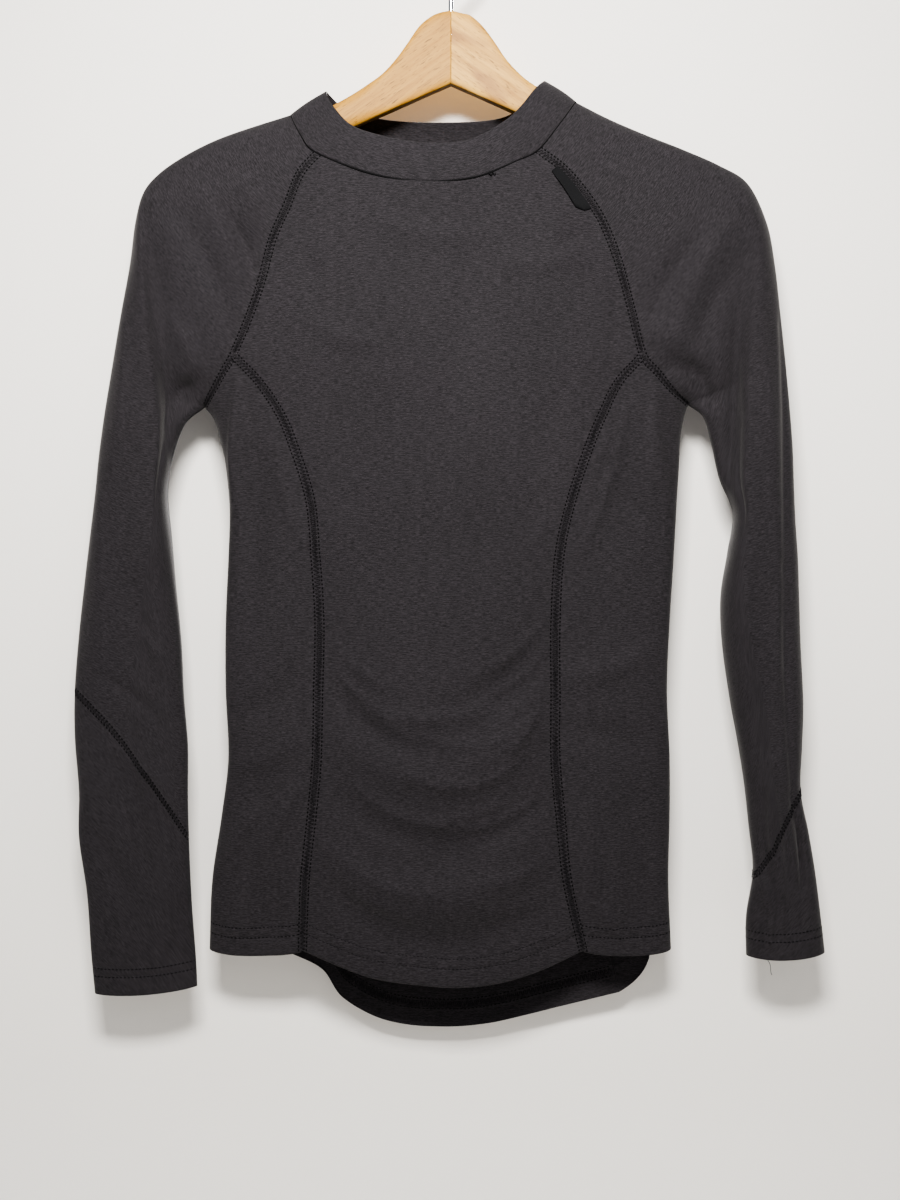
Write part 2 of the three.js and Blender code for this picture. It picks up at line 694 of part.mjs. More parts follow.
function tabGeometry() {
  const lift = JERSEY_WALL / 2 + TAB_LIFT + TAB_WALL / 2;
  const columns = spread(0, 1, STEPS.tabWidth);
  const rows = spread(0, 1, STEPS.tabLength);
  const grid = gridOf(rows, columns, (across, along) => {
    const u = lerp(TAB.freeEdge, TAB.seamEdge, across);
    const level = lerp(TAB.topRow, TAB.bottomRow, along) - TAB.slant * (across - 0.5);
    const normal = panelNormal('front', u, level);
    const outward = normal.y > 0 ? -lift : lift;
    return panelPoint('front', u, level).addScaledVector(normal, outward);
  });
  return wallGeometry(grid, TAB_WALL, 0);
}

const wasm = await Module();
wasm.setup();

function toManifold(geometry) {
  const bare = geometry.clone();
  bare.deleteAttribute('normal');
  bare.deleteAttribute('uv');
  const merged = mergeVertices(bare, 1e-4);
  return new wasm.Manifold(new wasm.Mesh({
    numProp: 3,
    vertProperties: new Float32Array(merged.attributes.position.array),
    triVerts: new Uint32Array(merged.index.array),
  }));
}

function toGeometry(manifold) {
  const mesh = manifold.getMesh();
  const geometry = new THREE.BufferGeometry();
  geometry.setAttribute('position', new THREE.BufferAttribute(mesh.vertProperties, 3));
  geometry.setIndex(new THREE.BufferAttribute(mesh.triVerts, 1));
  return geometry;
}

// Solid through rings of points, closed by a flat fan at each end.
function loftGeometry(rings) {
  const count = rings[0].length;
  const positions = rings.flat().flatMap((point) => point.toArray());
  const index = [];
  for (let i = 0; i + 1 < rings.length; i += 1) {
    for (let j = 0; j < count; j += 1) {
      const next = (j + 1) % count;
      const a = i * count + j;
      const b = i * count + next;
      const c = (i + 1) * count + next;
      const d = (i + 1) * count + j;
      index.push(a, b, c, a, c, d);
    }
  }
  const base = (rings.length - 1) * count;
  for (let j = 1; j + 1 < count; j += 1) {
    index.push(0, j + 1, j, base, base + j, base + j + 1);
  }
  const geometry = new THREE.BufferGeometry();
  geometry.setAttribute('position', new THREE.Float32BufferAttribute(positions, 3));
  geometry.setIndex(index);
  return geometry;
}

const ARM_SIDES = 16;
const ARM_ROUNDNESS = 0.72;

// Section of a hanger arm: an oval with flattened sides, drawn between its two edges.
function armRing(side, row, slim = 1) {
  const top = row[`${side}Top`];
  const middle = (top + row.bottom) / 2;
  const halfHeight = ((top - row.bottom) / 2) * slim;
  return Array.from({ length: ARM_SIDES }, (_, k) => {
    const angle = (2 * Math.PI * (k + 0.5)) / ARM_SIDES;
    const round = (value) => Math.sign(value) * Math.abs(value) ** ARM_ROUNDNESS;
    const turned = SIDE_SIGN[side] * angle;
    return new THREE.Vector3(
      SIDE_SIGN[side] * row.reach,
      row.forward + ARM_HALF_THICKNESS * slim * round(Math.cos(turned)),
      middle + halfHeight * round(Math.sin(turned)),
    );
  });
}

function armGeometry(side) {
  const rings = HANGER.map((row) => armRing(side, row));
  const tip = HANGER[HANGER.length - 1];
  rings.push(armRing(side, { ...tip, reach: tip.reach + 3 }, 0.6));
  const holeHeight = 40;
  const hole = new THREE.CylinderGeometry(HOOK_HOLE_RADIUS, HOOK_HOLE_RADIUS, holeHeight, 16);
  hole.rotateX(Math.PI / 2);
  hole.translate(0, 0, HOLE_BOTTOM + holeHeight / 2);
  return toGeometry(toManifold(loftGeometry(rings)).subtract(toManifold(hole)));
}

// Hook: a straight stem, a bend to the side and three quarters of a circle.
function hookGeometry() {
  const radius = HOOK_INNER_RADIUS + HOOK_WIRE_RADIUS;
  const startAngle = -50;
  const endAngle = 195;
  const arcSteps = 14;
  const stem = [HOOK_FOOT, -74, -62, -53].map((z) => new THREE.Vector3(0, 0, z));
  const bend = [new THREE.Vector3(3.2, 0, -44.5)];
  const arc = spread(startAngle, endAngle, arcSteps).map((degrees) => {
    const angle = THREE.MathUtils.degToRad(degrees);
    const x = radius * Math.cos(angle);
    const z = radius * Math.sin(angle) - HOOK_INNER_RADIUS;
    return new THREE.Vector3(x, 0, z);
  });
  const path = new THREE.CatmullRomCurve3([...stem, ...bend, ...arc], false, 'centripetal');
  const section = new THREE.Shape();
  section.absarc(0, 0, HOOK_WIRE_RADIUS, 0, 2 * Math.PI);
  return new THREE.ExtrudeGeometry(section, { steps: 44, curveSegments: 5, extrudePath: path });
}

const MATERIALS = {
  jersey: new THREE.MeshStandardMaterial({ color: 0x2b292b, roughness: 0.92, metalness: 0 }),
  tape: new THREE.MeshStandardMaterial({ color: 0x141415, roughness: 0.6, metalness: 0 }),
  beech: new THREE.MeshStandardMaterial({ color: 0xd9b48a, roughness: 0.5, metalness: 0 }),
  chrome: new THREE.MeshStandardMaterial({ color: 0xc9cbd0, roughness: 0.15, metalness: 1 }),
};

const group = new THREE.Group();

function addPiece(name, geometry, finish) {
  const mesh = new THREE.Mesh(geometry, MATERIALS[finish].clone());
  mesh.name = name;
  group.add(mesh);
}

addPiece('front_panel', panelGeometry('front'), 'jersey');
addPiece('back_panel', panelGeometry('back'), 'jersey');
for (const side of ['left', 'right']) {
  addPiece(`side_panel_${side}`, sideGeometry(side), 'jersey');
  addPiece(`sleeve_${side}`, sleeveGeometry(side), 'jersey');
  addPiece(`forearm_${side}`, forearmGeometry(side), 'jersey');
  addPiece(`hanger_${side}`, armGeometry(side), 'beech');
}
addPiece('neckband', bandGeometry(), 'jersey');
addPiece('seam_tab', tabGeometry(), 'tape');
addPiece('hook', hookGeometry(), 'chrome');

export default group;
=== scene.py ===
"""Long-sleeved base layer top on a contoured wooden hanger.

Every cloth piece is a surface worked out from short tables of sizes, in millimetres in the
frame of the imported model: +X is the viewer's right, the front faces -Y, +Z is up, and the
origin is the inside top of the hook. Meshes are written in metres.
"""
import math
from functools import partial

import bpy
import numpy as np
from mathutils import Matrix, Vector


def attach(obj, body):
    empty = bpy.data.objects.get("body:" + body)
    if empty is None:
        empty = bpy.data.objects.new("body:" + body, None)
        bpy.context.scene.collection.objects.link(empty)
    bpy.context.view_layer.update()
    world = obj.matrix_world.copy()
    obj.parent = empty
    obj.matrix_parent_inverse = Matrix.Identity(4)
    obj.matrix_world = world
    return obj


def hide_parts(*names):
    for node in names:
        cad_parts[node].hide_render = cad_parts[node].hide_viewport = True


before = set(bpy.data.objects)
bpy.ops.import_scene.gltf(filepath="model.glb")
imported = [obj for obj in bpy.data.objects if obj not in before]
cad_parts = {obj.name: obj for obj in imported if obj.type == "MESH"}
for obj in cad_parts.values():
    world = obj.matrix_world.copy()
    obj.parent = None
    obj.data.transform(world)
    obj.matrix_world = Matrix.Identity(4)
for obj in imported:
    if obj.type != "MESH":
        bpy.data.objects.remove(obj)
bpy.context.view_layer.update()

bl_info = {
    "name": "Base layer top on a hanger",
    "version": (1, 0, 0),
    "blender": (4, 5, 0),
    "location": "View3D > Sidebar > Base Layer",
    "description": "Builds a hanging long-sleeved base layer top from its sizes",
    "category": "Add Mesh",
}

MM = 0.001
TAU = 2 * math.pi
OUTWARD = {"front": -1, "back": 1}
FACING = {"front": (0, -1, 0), "back": (0, 1, 0)}


# Tables of sizes

def table(names, rows):
    """Columns of a table as arrays, by name."""
    return {name: np.array(column, float) for name, column in zip(names, zip(*rows))}


NECKBAND = table(
    ("top_x", "top_z", "top_y", "seam_x", "seam_z", "seam_y"),
    (
        (-93, -123, -2, -119, -140, -2),
        (-87, -137, -13, -110, -160, -15),
        (-72, -154, -22, -98, -174, -24),
        (-45, -164, -29, -58, -191, -31),
        (-15, -169, -32, -20, -197, -34),
        (14, -166, -31, 17, -194, -33),
        (38, -152, -26, 48, -181, -29),
        (51, -139, -20, 64, -171, -22),
        (63, -123, -14, 81, -149, -16),
        (70, -115, 0, 93, -130, 0),
        (60, -124, 13, 84, -146, 15),
        (37, -136, 21, 53, -160, 26),
        (-7, -138, 25, -7, -166, 30),
        (-50, -137, 21, -66, -160, 26),
        (-80, -131, 12, -107, -148, 15),
    ),
)
BAND_PLACES = {
    "left": {"front": 2, "ridge": 0, "back": -2},
    "right": {"front": 7, "ridge": 9, "back": 11},
}
BAND_ROWS = 15

RAGLAN_NAMES = ("front_x", "front_z", "front", "back_x", "back_z", "back")
RAGLAN = {
    "left": table(RAGLAN_NAMES, (
        (-98, -174, 24, -66, -160, 26),
        (-111, -189, 24, -84, -184, 26),
        (-121, -213, 23, -100, -210, 25),
        (-132, -238, 22, -115, -237, 24),
        (-140, -268, 21, -130, -266, 22),
        (-150, -296, 20, -145, -294, 20),
        (-161, -321, 18, -159, -321, 16),
        (-169, -334, 15, -168, -334, 13),
        (-177, -347, 10, -177, -347, 8),
        (-185, -358, 1, -185, -358, 1),
    )),
    "right": table(RAGLAN_NAMES, (
        (64, -171, 22, 53, -160, 26),
        (82, -185, 24, 72, -184, 26),
        (97, -202, 24, 88, -210, 25),
        (111, -223, 23, 102, -237, 24),
        (123, -252, 22, 116, -266, 22),
        (133, -287, 20, 130, -294, 20),
        (142, -321, 18, 143, -321, 16),
        (153, -334, 15, 154, -334, 13),
        (165, -347, 10, 166, -347, 8),
        (178, -356, 1, 178, -356, 1),
    )),
}
BODY_SEAM_ROW = 6
UNDERARM_ROW = 9

BODY = table(
    (
        "seam_z", "left_seam", "right_seam", "side_z", "left_side", "right_side",
        "back_left_seam", "back_right_seam", "seam_front", "middle_front", "seam_back",
        "middle_back",
    ),
    (
        (-321, -161, 142, -357, -185, 178, -159, 143, 18, 31, 16, 26),
        (-341, -142, 124, -368, -177, 174, -142, 128, 20, 31, 17, 26),
        (-365, -126, 112, -384, -172, 171, -128, 116, 21, 31, 18, 25),
        (-389, -116, 102, -402, -168, 170, -117, 106, 22, 31, 18, 25),
        (-428, -104, 89, -435, -165, 168, -106, 95, 22, 30, 18, 24),
        (-469, -100, 80, -472, -166, 166, -101, 88, 22, 28, 18, 23),
        (-520, -97, 77, -520, -168, 163, -98, 84, 21, 27, 18, 22),
        (-570, -98, 77, -570, -168, 161, -98, 84, 21, 27, 18, 22),
        (-620, -99, 77, -620, -166, 163, -100, 88, 21, 27, 18, 22),
        (-664, -103, 81, -664, -171, 163, -106, 98, 21, 28, 18, 22),
        (-710, -108, 86, -712, -178, 162, -116, 112, 20, 28, 18, 22),
        (-762, -110, 98, -763, -180, 164, -125, 128, 18, 26, 18, 21),
    ),
)
LAST_LEVEL = 11
# Millimetres between the last two levels
LAST_LEVEL_HEIGHT = 52
SIDE_Y = -3
# How a cloth's depth falls from its seam to its fold: steeply at the fold, or evenly
RIDGE_POWER = 0.33
UNDERARM_POWER = 1.3
PANEL_ROUNDNESS = 2.4
TUBE_ROUNDNESS = 2.2

FRONT_HEM = table(("x", "z"), (
    (-110, -762), (-80, -774), (-55, -782), (-25, -786),
    (5, -788), (35, -785), (66, -776), (98, -762),
))
BACK_HEM = table(("x", "z"), (
    (-125, -770), (-98, -784), (-82, -806), (-50, -823),
    (-10, -828), (30, -825), (80, -813), (128, -801),
))
SIDE_HEM_DIP = 4
HEM_POWER = 6
# How far the tail's rounded corner reaches on a side panel, from the back seam, 0, to the
# side edge, 1
TAIL_REACH = 0.6
# Rows of stitches, by their distance from the edge of a hem and of a cuff
HEM_ROWS = (13.5, 21.0)
CUFF_ROWS = (13.5, 19.5)
HEM_PROUD = 0.45
HEM_GROOVE = 0.45
HEM_ROLL = 0.5

SLEEVE_NAMES = ("x", "z", "y", "front", "back", "closed", "fold", "step")
SLEEVE_OUTER = {
    "left": table(SLEEVE_NAMES, (
        (-119, -140, -2, 0, 0, 0, 0.5, 0),
        (-148, -150, -3, 2, 2, 0, 0.5, 0),
        (-177, -161, -4, 3, 3, 0, 0.55, 0),
        (-200, -173, -5, 4, 4, 0, 0.62, 0),
        (-218, -186, -6, 5, 5, 0.1, 0.72, 0),
        (-229, -200, -7, 7, 7, 0.2, 0.85, 0),
        (-235, -222, -7, 10, 9, 0.35, 0.9, 0.15),
        (-239, -253, -7, 14, 11, 0.5, 0.82, 0.35),
        (-246, -292, -7, 18, 13, 0.7, 0.62, 0.45),
        (-253, -335, -7, 21, 15, 0.9, 0.47, 0.5),
        (-258, -366, -7, 22, 17, 1, 0.27, 0.5),
        (-262, -396, -7, 22, 18, 1, 0.14, 0.4),
        (-265, -426, -7, 21, 18, 1, 0.12, 0.15),
        (-269, -459, -7, 20, 17, 1, 0.18, 0),
        (-273, -493, -7, 18, 16, 1, 0.3, 0),
        (-277, -530, -7, 16, 15, 1, 0.4, 0),
        (-280, -570, -7, 14, 13, 1, 0.45, 0),
        (-280, -606, -7, 12, 12, 1, 0.5, 0),
        (-277, -645, -7, 11, 11, 1, 0.5, 0),
        (-277, -680, -7, 10, 10, 1, 0.5, 0),
        (-271, -722, -7, 9, 9, 1, 0.5, 0),
        (-268, -765, -7, 8, 8, 1, 0.5, 0),
        (-265, -796, -7, 8, 8, 1, 0.5, 0),
    )),
    "right": table(SLEEVE_NAMES, (
        (93, -130, 0, 0, 0, 0, 0.5, 0),
        (119, -144, 0, 2, 2, 0, 0.5, 0),
        (146, -156, -1, 3, 3, 0, 0.55, 0),
        (173, -167, -3, 4, 4, 0, 0.62, 0),
        (200, -179, -4, 5, 5, 0.1, 0.72, 0),
        (221, -193, -6, 7, 7, 0.2, 0.85, 0),
        (235, -222, -7, 10, 9, 0.35, 0.9, 0.1),
        (241, -253, -7, 14, 11, 0.5, 0.83, 0.3),
        (245, -289, -7, 18, 13, 0.7, 0.7, 0.4),
        (249, -328, -7, 21, 15, 0.9, 0.58, 0.45),
        (252, -362, -7, 23, 17, 1, 0.47, 0.5),
        (254, -390, -7, 24, 19, 1, 0.37, 0.5),
        (255, -418, -7, 24, 20, 1, 0.27, 0.4),
        (256, -443, -7, 24, 20, 1, 0.15, 0.2),
        (258, -472, -7, 23, 20, 1, 0.15, 0),
        (259, -503, -7, 22, 20, 1, 0.22, 0),
        (260, -536, -7, 21, 19, 1, 0.3, 0),
        (262, -580, -7, 20, 18, 1, 0.4, 0),
        (261, -612, -7, 19, 17, 1, 0.45, 0),
        (260, -645, -7, 17, 16, 1, 0.45, 0),
        (266, -676, -7, 15, 15, 1, 0.45, 0),
        (271, -706, -7, 14, 14, 1, 0.5, 0),
        (275, -738, -7, 14, 14, 1, 0.5, 0),
        (278, -765, -7, 15, 15, 1, 0.5, 0),
    )),
}
SLEEVE_INNER = {
    "left": table(("x", "z"), (
        (-185, -358), (-199, -371), (-208, -395), (-212, -422), (-209, -457),
        (-206, -492), (-202, -533), (-200, -574), (-197, -612), (-197, -650),
        (-196, -688), (-194, -730), (-191, -770), (-190, -791),
    )),
    "right": table(("x", "z"), (
        (178, -356), (189, -366), (195, -386), (201, -412), (211, -438),
        (207, -468), (202, -500), (203, -535), (209, -578), (214, -605),
        (219, -636), (223, -672), (226, -705), (221, -739), (221, -768),
    )),
}
SLEEVE_INNER_Y = -5
FOREARM_SEAM = {
    "left": {"outer": 16, "inner": 18.8, "bow": -0.25},
    "right": {"outer": 19, "inner": 21.1, "bow": 0},
}
CUFF_DIP = 2.5

# Width of a sharp crease's step, as a share of the crease's half width
CREASE_STEP = 0.16
# Waves of the cloth's slow unevenness, and of the puckers beside a seam
RIPPLE_WAVES = 6
PUCKER_WAVES = 4
PUCKER_HEIGHT = 0.16
PUCKER_REACH = 7

# Creases, one by one: a line from one end to the other, how far it bows, its half width, its
# height outwards, and how sharp the step on its far side is, from 0, round, to 1, folded.
CREASE_NAMES = ("x0", "z0", "x1", "z1", "bow", "width", "height", "sharp")
FRONT_CREASES = table(CREASE_NAMES, (
    (76, -505, 20, -556, 7, 4, 1.3, 0.5),
    (74, -552, 26, -598, 6, 4, 1.2, 0.5),
    (-92, -530, -50, -566, -4, 4, 1.3, 0.5),
    (-92, -576, -40, -622, -6, 5, 1.2, 0.4),
    (-20, -604, 62, -588, -14, 4, 1.2, 0.5),
    (-70, -640, 30, -656, -20, 5, 1.3, 0.5),
    (-10, -672, 70, -640, -12, 4, 1.2, 0.5),
    (-86, -688, 0, -716, -14, 5, 1.2, 0.4),
    (10, -712, 76, -690, -8, 4, 1.1, 0.5),
    (60, -470, 76, -440, 2, 5, 1.0, 0.4),
    (-96, -470, -78, -440, 2, 5, 1.0, 0.4),
    (-60, -222, 20, -236, -8, 9, 1.0, 0.2),
    (40, -256, 96, -250, -4, 8, 1.0, 0.2),
    (-100, -300, -60, -316, -4, 8, 1.0, 0.2),
    (-92, -560, -10, -625, -10, 14, -2.16, 0),
    (72, -530, 8, -585, 8, 14, -2.4, 0),
    (66, -575, 30, -615, 6, 12, 1.92, 0),
    (-90, -600, 68, -600, -30, 16, 2.4, 0),
    (-88, -650, 70, -650, -38, 18, -2.64, 0),
    (-90, -690, 74, -690, -34, 18, 2.4, 0),
    (-92, -715, 80, -712, -42, 16, -2.16, 0),
    (-60, -330, -80, -420, 6, 22, -1.8, 0),
    (60, -320, 80, -420, -6, 22, -1.8, 0),
    (72, -534, 34, -570, 4, 4, 1.6, 0.6),
    (34, -570, 10, -585, 2, 5, 1.12, 0.4),
    (66, -576, 44, -612, 3, 4, 1.44, 0.5),
    (-88, -550, -60, -580, -3, 4, 1.44, 0.5),
    (-60, -582, -24, -606, -3, 6, 1.12, 0.2),
    (-60, -586, 30, -586, -6, 6, 1.44, 0.4),
    (-30, -634, 52, -622, -14, 7, 1.76, 0.5),
    (-78, -664, -20, -692, -6, 8, 1.44, 0.2),
    (20, -690, 66, -668, -6, 8, 1.28, 0.2),
    (-84, -705, -30, -736, -5, 6, 1.28, 0.4),
    (30, -735, 80, -712, -5, 6, 1.28, 0.4),
    (-102, -184, -104, -196, 0, 6, -1.28, 0.2),
    (-106, -250, -106, -272, 3, 7, -1.44, 0.2),
    (86, -240, 112, -238, 3, 8, -1.28, 0.2),
    (104, -276, 112, -300, 2, 7, 1.28, 0.2),
    (-20, -215, -26, -330, 5, 26, 1.08, 0),
    (20, -220, 28, -330, -5, 24, -0.96, 0),
    (66, -752, 92, -748, -2, 4, 1.28, 0.5),
))
BACK_CREASES = table(CREASE_NAMES, (
    (-90, -520, 70, -540, -22, 18, 2.4, 0),
    (-86, -580, 72, -590, -26, 18, -2.4, 0),
    (-70, -640, 80, -650, -24, 18, 2.16, 0),
    (-60, -250, -30, -420, 8, 22, 1.92, 0),
    (60, -250, 30, -420, -8, 22, 1.92, 0),
    (-92, -480, -40, -528, -8, 7, 1.92, 0.5),
    (78, -470, 30, -520, 8, 7, 1.92, 0.5),
    (-60, -545, 50, -552, -12, 8, 2.08, 0.4),
    (-80, -600, 10, -628, -12, 9, -1.76, 0.2),
    (80, -610, 0, -640, 12, 9, 1.6, 0.2),
    (-80, -690, 80, -690, -20, 14, 1.44, 0),
    (-110, -205, -40, -230, -10, 10, -0.96, 0),
    (100, -205, 40, -232, 10, 10, -0.96, 0),
))
SIDE_CREASES = {
    "left": table(CREASE_NAMES, (
        (-127, -388, -107, -466, -3, 4, -1.7, 0.8),
        (-127, -392, -108, -462, -3, 6, 2.24, 0.4),
        (-160, -345, -164, -432, -3, 5, 2.08, 0.8),
        (-145, -400, -150, -520, 3, 9, -1.76, 0.2),
        (-146, -658, -166, -696, -4, 7, 2.56, 0.5),
        (-116, -644, -142, -706, -5, 8, 2.4, 0.4),
        (-120, -560, -160, -590, 5, 9, -1.6, 0.2),
        (-118, -604, -164, -626, 5, 8, 1.6, 0.2),
        (-132, -720, -136, -760, 2, 9, -1.92, 0.2),
        (-158, -715, -162, -762, -2, 9, 1.6, 0.2),
    )),
    "right": table(CREASE_NAMES, (
        (94, -462, 124, -366, -5, 4, -1.7, 0.8),
        (124, -366, 94, -462, 5, 6, 2.56, 0.7),
        (116, -402, 136, -440, -3, 6, -1.92, 0.2),
        (150, -352, 158, -430, -4, 7, 1.92, 0.5),
        (88, -560, 150, -540, -5, 9, 1.6, 0.2),
        (84, -600, 156, -618, 5, 10, -1.2, 0),
        (100, -660, 108, -740, -3, 8, 1.92, 0.4),
        (104, -730, 122, -752, 3, 5, 2.24, 0.6),
        (134, -660, 140, -750, 4, 10, -1.32, 0),
    )),
}
SLEEVE_CREASES = {
    "left": table(CREASE_NAMES, (
        (-229, -219, -208, -416, -2, 7, -1.8, 0.95),
        (-229, -219, -208, -416, -2, 20, -2.2, 0.95),
        (-208, -416, -204, -470, 0, 5, -1.2, 0.6),
        (-244, -300, -252, -400, 3, 5, 1.1, 0.3),
        (-226, -252, -214, -330, 2, 5, 1.2, 0.3),
        (-262, -560, -214, -600, 6, 5, -1.1, 0.4),
        (-240, -520, -210, -560, 4, 4, 1.0, 0.4),
        (-172, -214, -148, -256, 3, 7, -2.08, 0.2),
        (-186, -204, -160, -262, 4, 8, 1.6, 0.2),
        (-200, -222, -166, -300, 5, 8, -1.6, 0.2),
        (-156, -196, -140, -226, 2, 8, 1.28, 0.2),
        (-204, -356, -188, -344, 4, 8, -4.2, 0.3),
        (-206, -300, -192, -340, 3, 8, 2.24, 0.4),
        (-233, -496, -226, -578, 2, 9, -1.76, 0.2),
        (-232, -570, -222, -690, -2, 5, 1.44, 0.7),
        (-262, -430, -266, -560, 2, 8, 1.44, 0.2),
        (-250, -612, -216, -650, 4, 8, 1.44, 0.2),
        (-268, -676, -238, -742, 5, 9, -1.44, 0.2),
        (-212, -700, -218, -770, 3, 7, 1.28, 0.2),
    )),
    "right": table(CREASE_NAMES, (
        (208, -441, 221, -268, 2, 6, -1.8, 0.9),
        (208, -441, 221, -268, 2, 15, -1.8, 0.9),
        (226, -300, 236, -420, 3, 5, 1.0, 0.4),
        (240, -440, 236, -600, 2, 5, 1.2, 0.4),
        (212, -520, 236, -548, 3, 5, 1.1, 0.4),
        (254, -660, 258, -720, 1, 4, -1.8, 0.7),
        (236, -640, 244, -745, 2, 4, 1.8, 0.7),
        (184, -234, 150, -290, -4, 8, -2.08, 0.2),
        (206, -222, 168, -300, -5, 9, 1.92, 0.2),
        (214, -250, 180, -320, -5, 8, -1.6, 0.2),
        (166, -330, 190, -352, 6, 8, -4.2, 0.4),
        (150, -306, 190, -338, 6, 8, 2.24, 0.4),
        (242, -300, 243, -480, 1, 7, -2.2, 0.95),
        (243, -480, 251, -655, -2, 6, -2.0, 0.9),
        (216, -470, 218, -570, -3, 8, 1.6, 0.2),
        (234, -624, 240, -720, -3, 5, 2.56, 0.8),
        (248, -648, 258, -712, 2, 5, -2.24, 0.6),
        (224, -700, 234, -756, 4, 4, 2.4, 0.8),
        (228, -540, 232, -630, 3, 9, -1.6, 0.2),
    )),
}
SLEEVE_BACK_CREASES = {
    "left": table(CREASE_NAMES, (
        (-236, -260, -238, -470, 4, 9, -3.0, 0.5),
        (-170, -220, -150, -290, 4, 9, 2.08, 0.2),
        (-190, -350, -214, -330, 4, 7, -2.4, 0.2),
        (-230, -500, -250, -600, 4, 9, 1.92, 0.2),
        (-240, -660, -222, -760, 4, 8, -1.6, 0.2),
    )),
    "right": table(CREASE_NAMES, (
        (228, -270, 232, -480, -4, 9, -3.0, 0.5),
        (166, -230, 146, -290, -4, 9, 2.08, 0.2),
        (182, -350, 206, -330, -4, 7, -2.4, 0.2),
        (226, -500, 240, -600, -4, 9, 1.92, 0.2),
        (240, -650, 256, -740, -4, 7, -1.92, 0.2),
    )),
}

# Rows and columns of the cloth's grids, and how many of the rows crowd near an edge
PANEL_GRID = {"front": (330, 140), "back": (190, 110)}
SIDE_GRID = (190, 64)
SLEEVE_GRID = (230, 100)
FOREARM_GRID = (100, 100)
BAND_GRID = (20, 400)
PANEL_HEM_GRID_ROWS = 48
SIDE_HEM_GRID_ROWS = 44
CUFF_GRID_ROWS = 40

HANGER = table(
    ("reach", "left_top", "right_top", "bottom", "forward"),
    (
        (0.15, -62, -62, -117, 0),
        (8, -63.5, -64, -120.5, 0),
        (15, -66.5, -66, -123.5, 0),
        (24, -74, -74, -127.5, 0),
        (33, -87, -86, -131.5, 0),
        (41, -98, -98, -135, 0),
        (50, -108, -108, -139, 0),
        (60, -115.5, -116, -143.5, -0.3),
        (82, -129, -128.5, -153, -0.4),
        (110, -143, -146, -163.5, -1),
        (135, -153, -158, -173, -2),
        (160, -162, -168, -182.5, -3.2),
        (185, -172, -179, -191, -4.6),
        (200, -180, -186, -197, -5.6),
        (206, -184, -189, -197, -6),
    ),
)
ARM_HALF_THICKNESS = 6.5
ARM_ROUNDNESS = 0.72
ARM_STATIONS = 150
ARM_SIDES = 48
MITRE_TRIM = 0.13
CREST_ROUNDNESS = 0.3
HOOK_WIRE_RADIUS = 1.9
HOOK_INNER_RADIUS = 19
HOOK_LOOP_DEGREES = (-50, 195)
HOOK_STEM_HEIGHTS = (-84, -53)
HOOK_KNEE = (3.2, 0, -44.5)
HOOK_SIDES = 20


# Curves and cloth surfaces

def curve(a, b, c, d, f):
    """Catmull-Rom curve from b to c, a share f of the way, led by its neighbours a and d."""
    return b + 0.5 * f * (c - a + f * (2 * a - 5 * b + 4 * c - d + f * (3 * (b - c) + d - a)))


def spline(values, at):
    """Curve through evenly numbered values, with its ends run out straight."""
    at = np.asarray(at, float)
    last = len(values) - 1
    before = 2 * values[0] - values[1]
    after = 2 * values[last] - values[last - 1]
    run = np.concatenate(([before], values, [after]))
    k = np.clip(np.floor(at).astype(int), 0, last - 1)
    return curve(*(run[k + n] for n in range(4)), at - k)


def ring_spline(values, at):
    """The same curve through values that close on themselves."""
    at = np.asarray(at, float)
    k = np.floor(at).astype(int)
    return curve(*(values[(k + n) % len(values)] for n in (-1, 0, 1, 2)), at - k)


def mix(a, b, share):
    """The value a share of the way from a to b."""
    return a + (b - a) * share


def smooth(x, low, high):
    """Smooth step from 0 at low to 1 at high."""
    t = np.clip((x - low) / (high - low), 0, 1)
    return t * t * (3 - 2 * t)


def join(x, y, z):
    """Points from their coordinates, each an array or one number."""
    return np.stack(np.broadcast_arrays(x, y, z), axis=-1).astype(float)


def band_seam(row):
    """Point of the neckband's seam at a row of its table."""
    return join(*(ring_spline(NECKBAND["seam_" + axis], row) for axis in "xyz"))


def band_top(row):
    """Point of the neckband's upper edge at a row of its table."""
    return join(*(ring_spline(NECKBAND["top_" + axis], row) for axis in "xyz"))


def raglan(side, face, row):
    """Point of a raglan seam at a row of its table."""
    rows = RAGLAN[side]
    depth = OUTWARD[face] * spline(rows[face], row)
    return join(spline(rows[face + "_x"], row), depth, spline(rows[face + "_z"], row))


def body_seam(side, face, level):
    """Point of a shaped body seam at a level of the body table."""
    name = f"{side}_seam" if face == "front" else f"back_{side}_seam"
    depth = OUTWARD[face] * spline(BODY["seam_" + face], level)
    return join(spline(BODY[name], level), depth, spline(BODY["seam_z"], level))


def body_side(side, level):
    """Point of the body's side edge at a level of the body table."""
    return join(spline(BODY[side + "_side"], level), SIDE_Y, spline(BODY["side_z"], level))


def crease_height(creases, x, z):
    """Sum of the creases at a place: a bell across each line, faded at its ends, times a
    step across the line where the crease is sharp."""
    height = np.zeros(np.broadcast(x, z).shape)
    for x0, z0, x1, z1, bow, width, high, sharp in zip(*creases.values()):
        run_x = x1 - x0
        run_z = z1 - z0
        length = math.hypot(run_x, run_z)
        along = ((x - x0) * run_x + (z - z0) * run_z) / length**2
        q = np.clip(along, 0, 1)
        away = ((z - z0) * run_x - (x - x0) * run_z) / length - bow * 4 * q * (1 - q)
        past = (along - q) * length
        fade = np.exp(-((away / width) ** 2) - (past / width) ** 2)
        step = 1 - sharp * (0.5 - 0.5 * np.tanh(away / (CREASE_STEP * width)))
        height += high * fade * step * np.sqrt(np.sin(math.pi * np.clip(q, 0.08, 0.92)))
    return height * settings().crease_depth


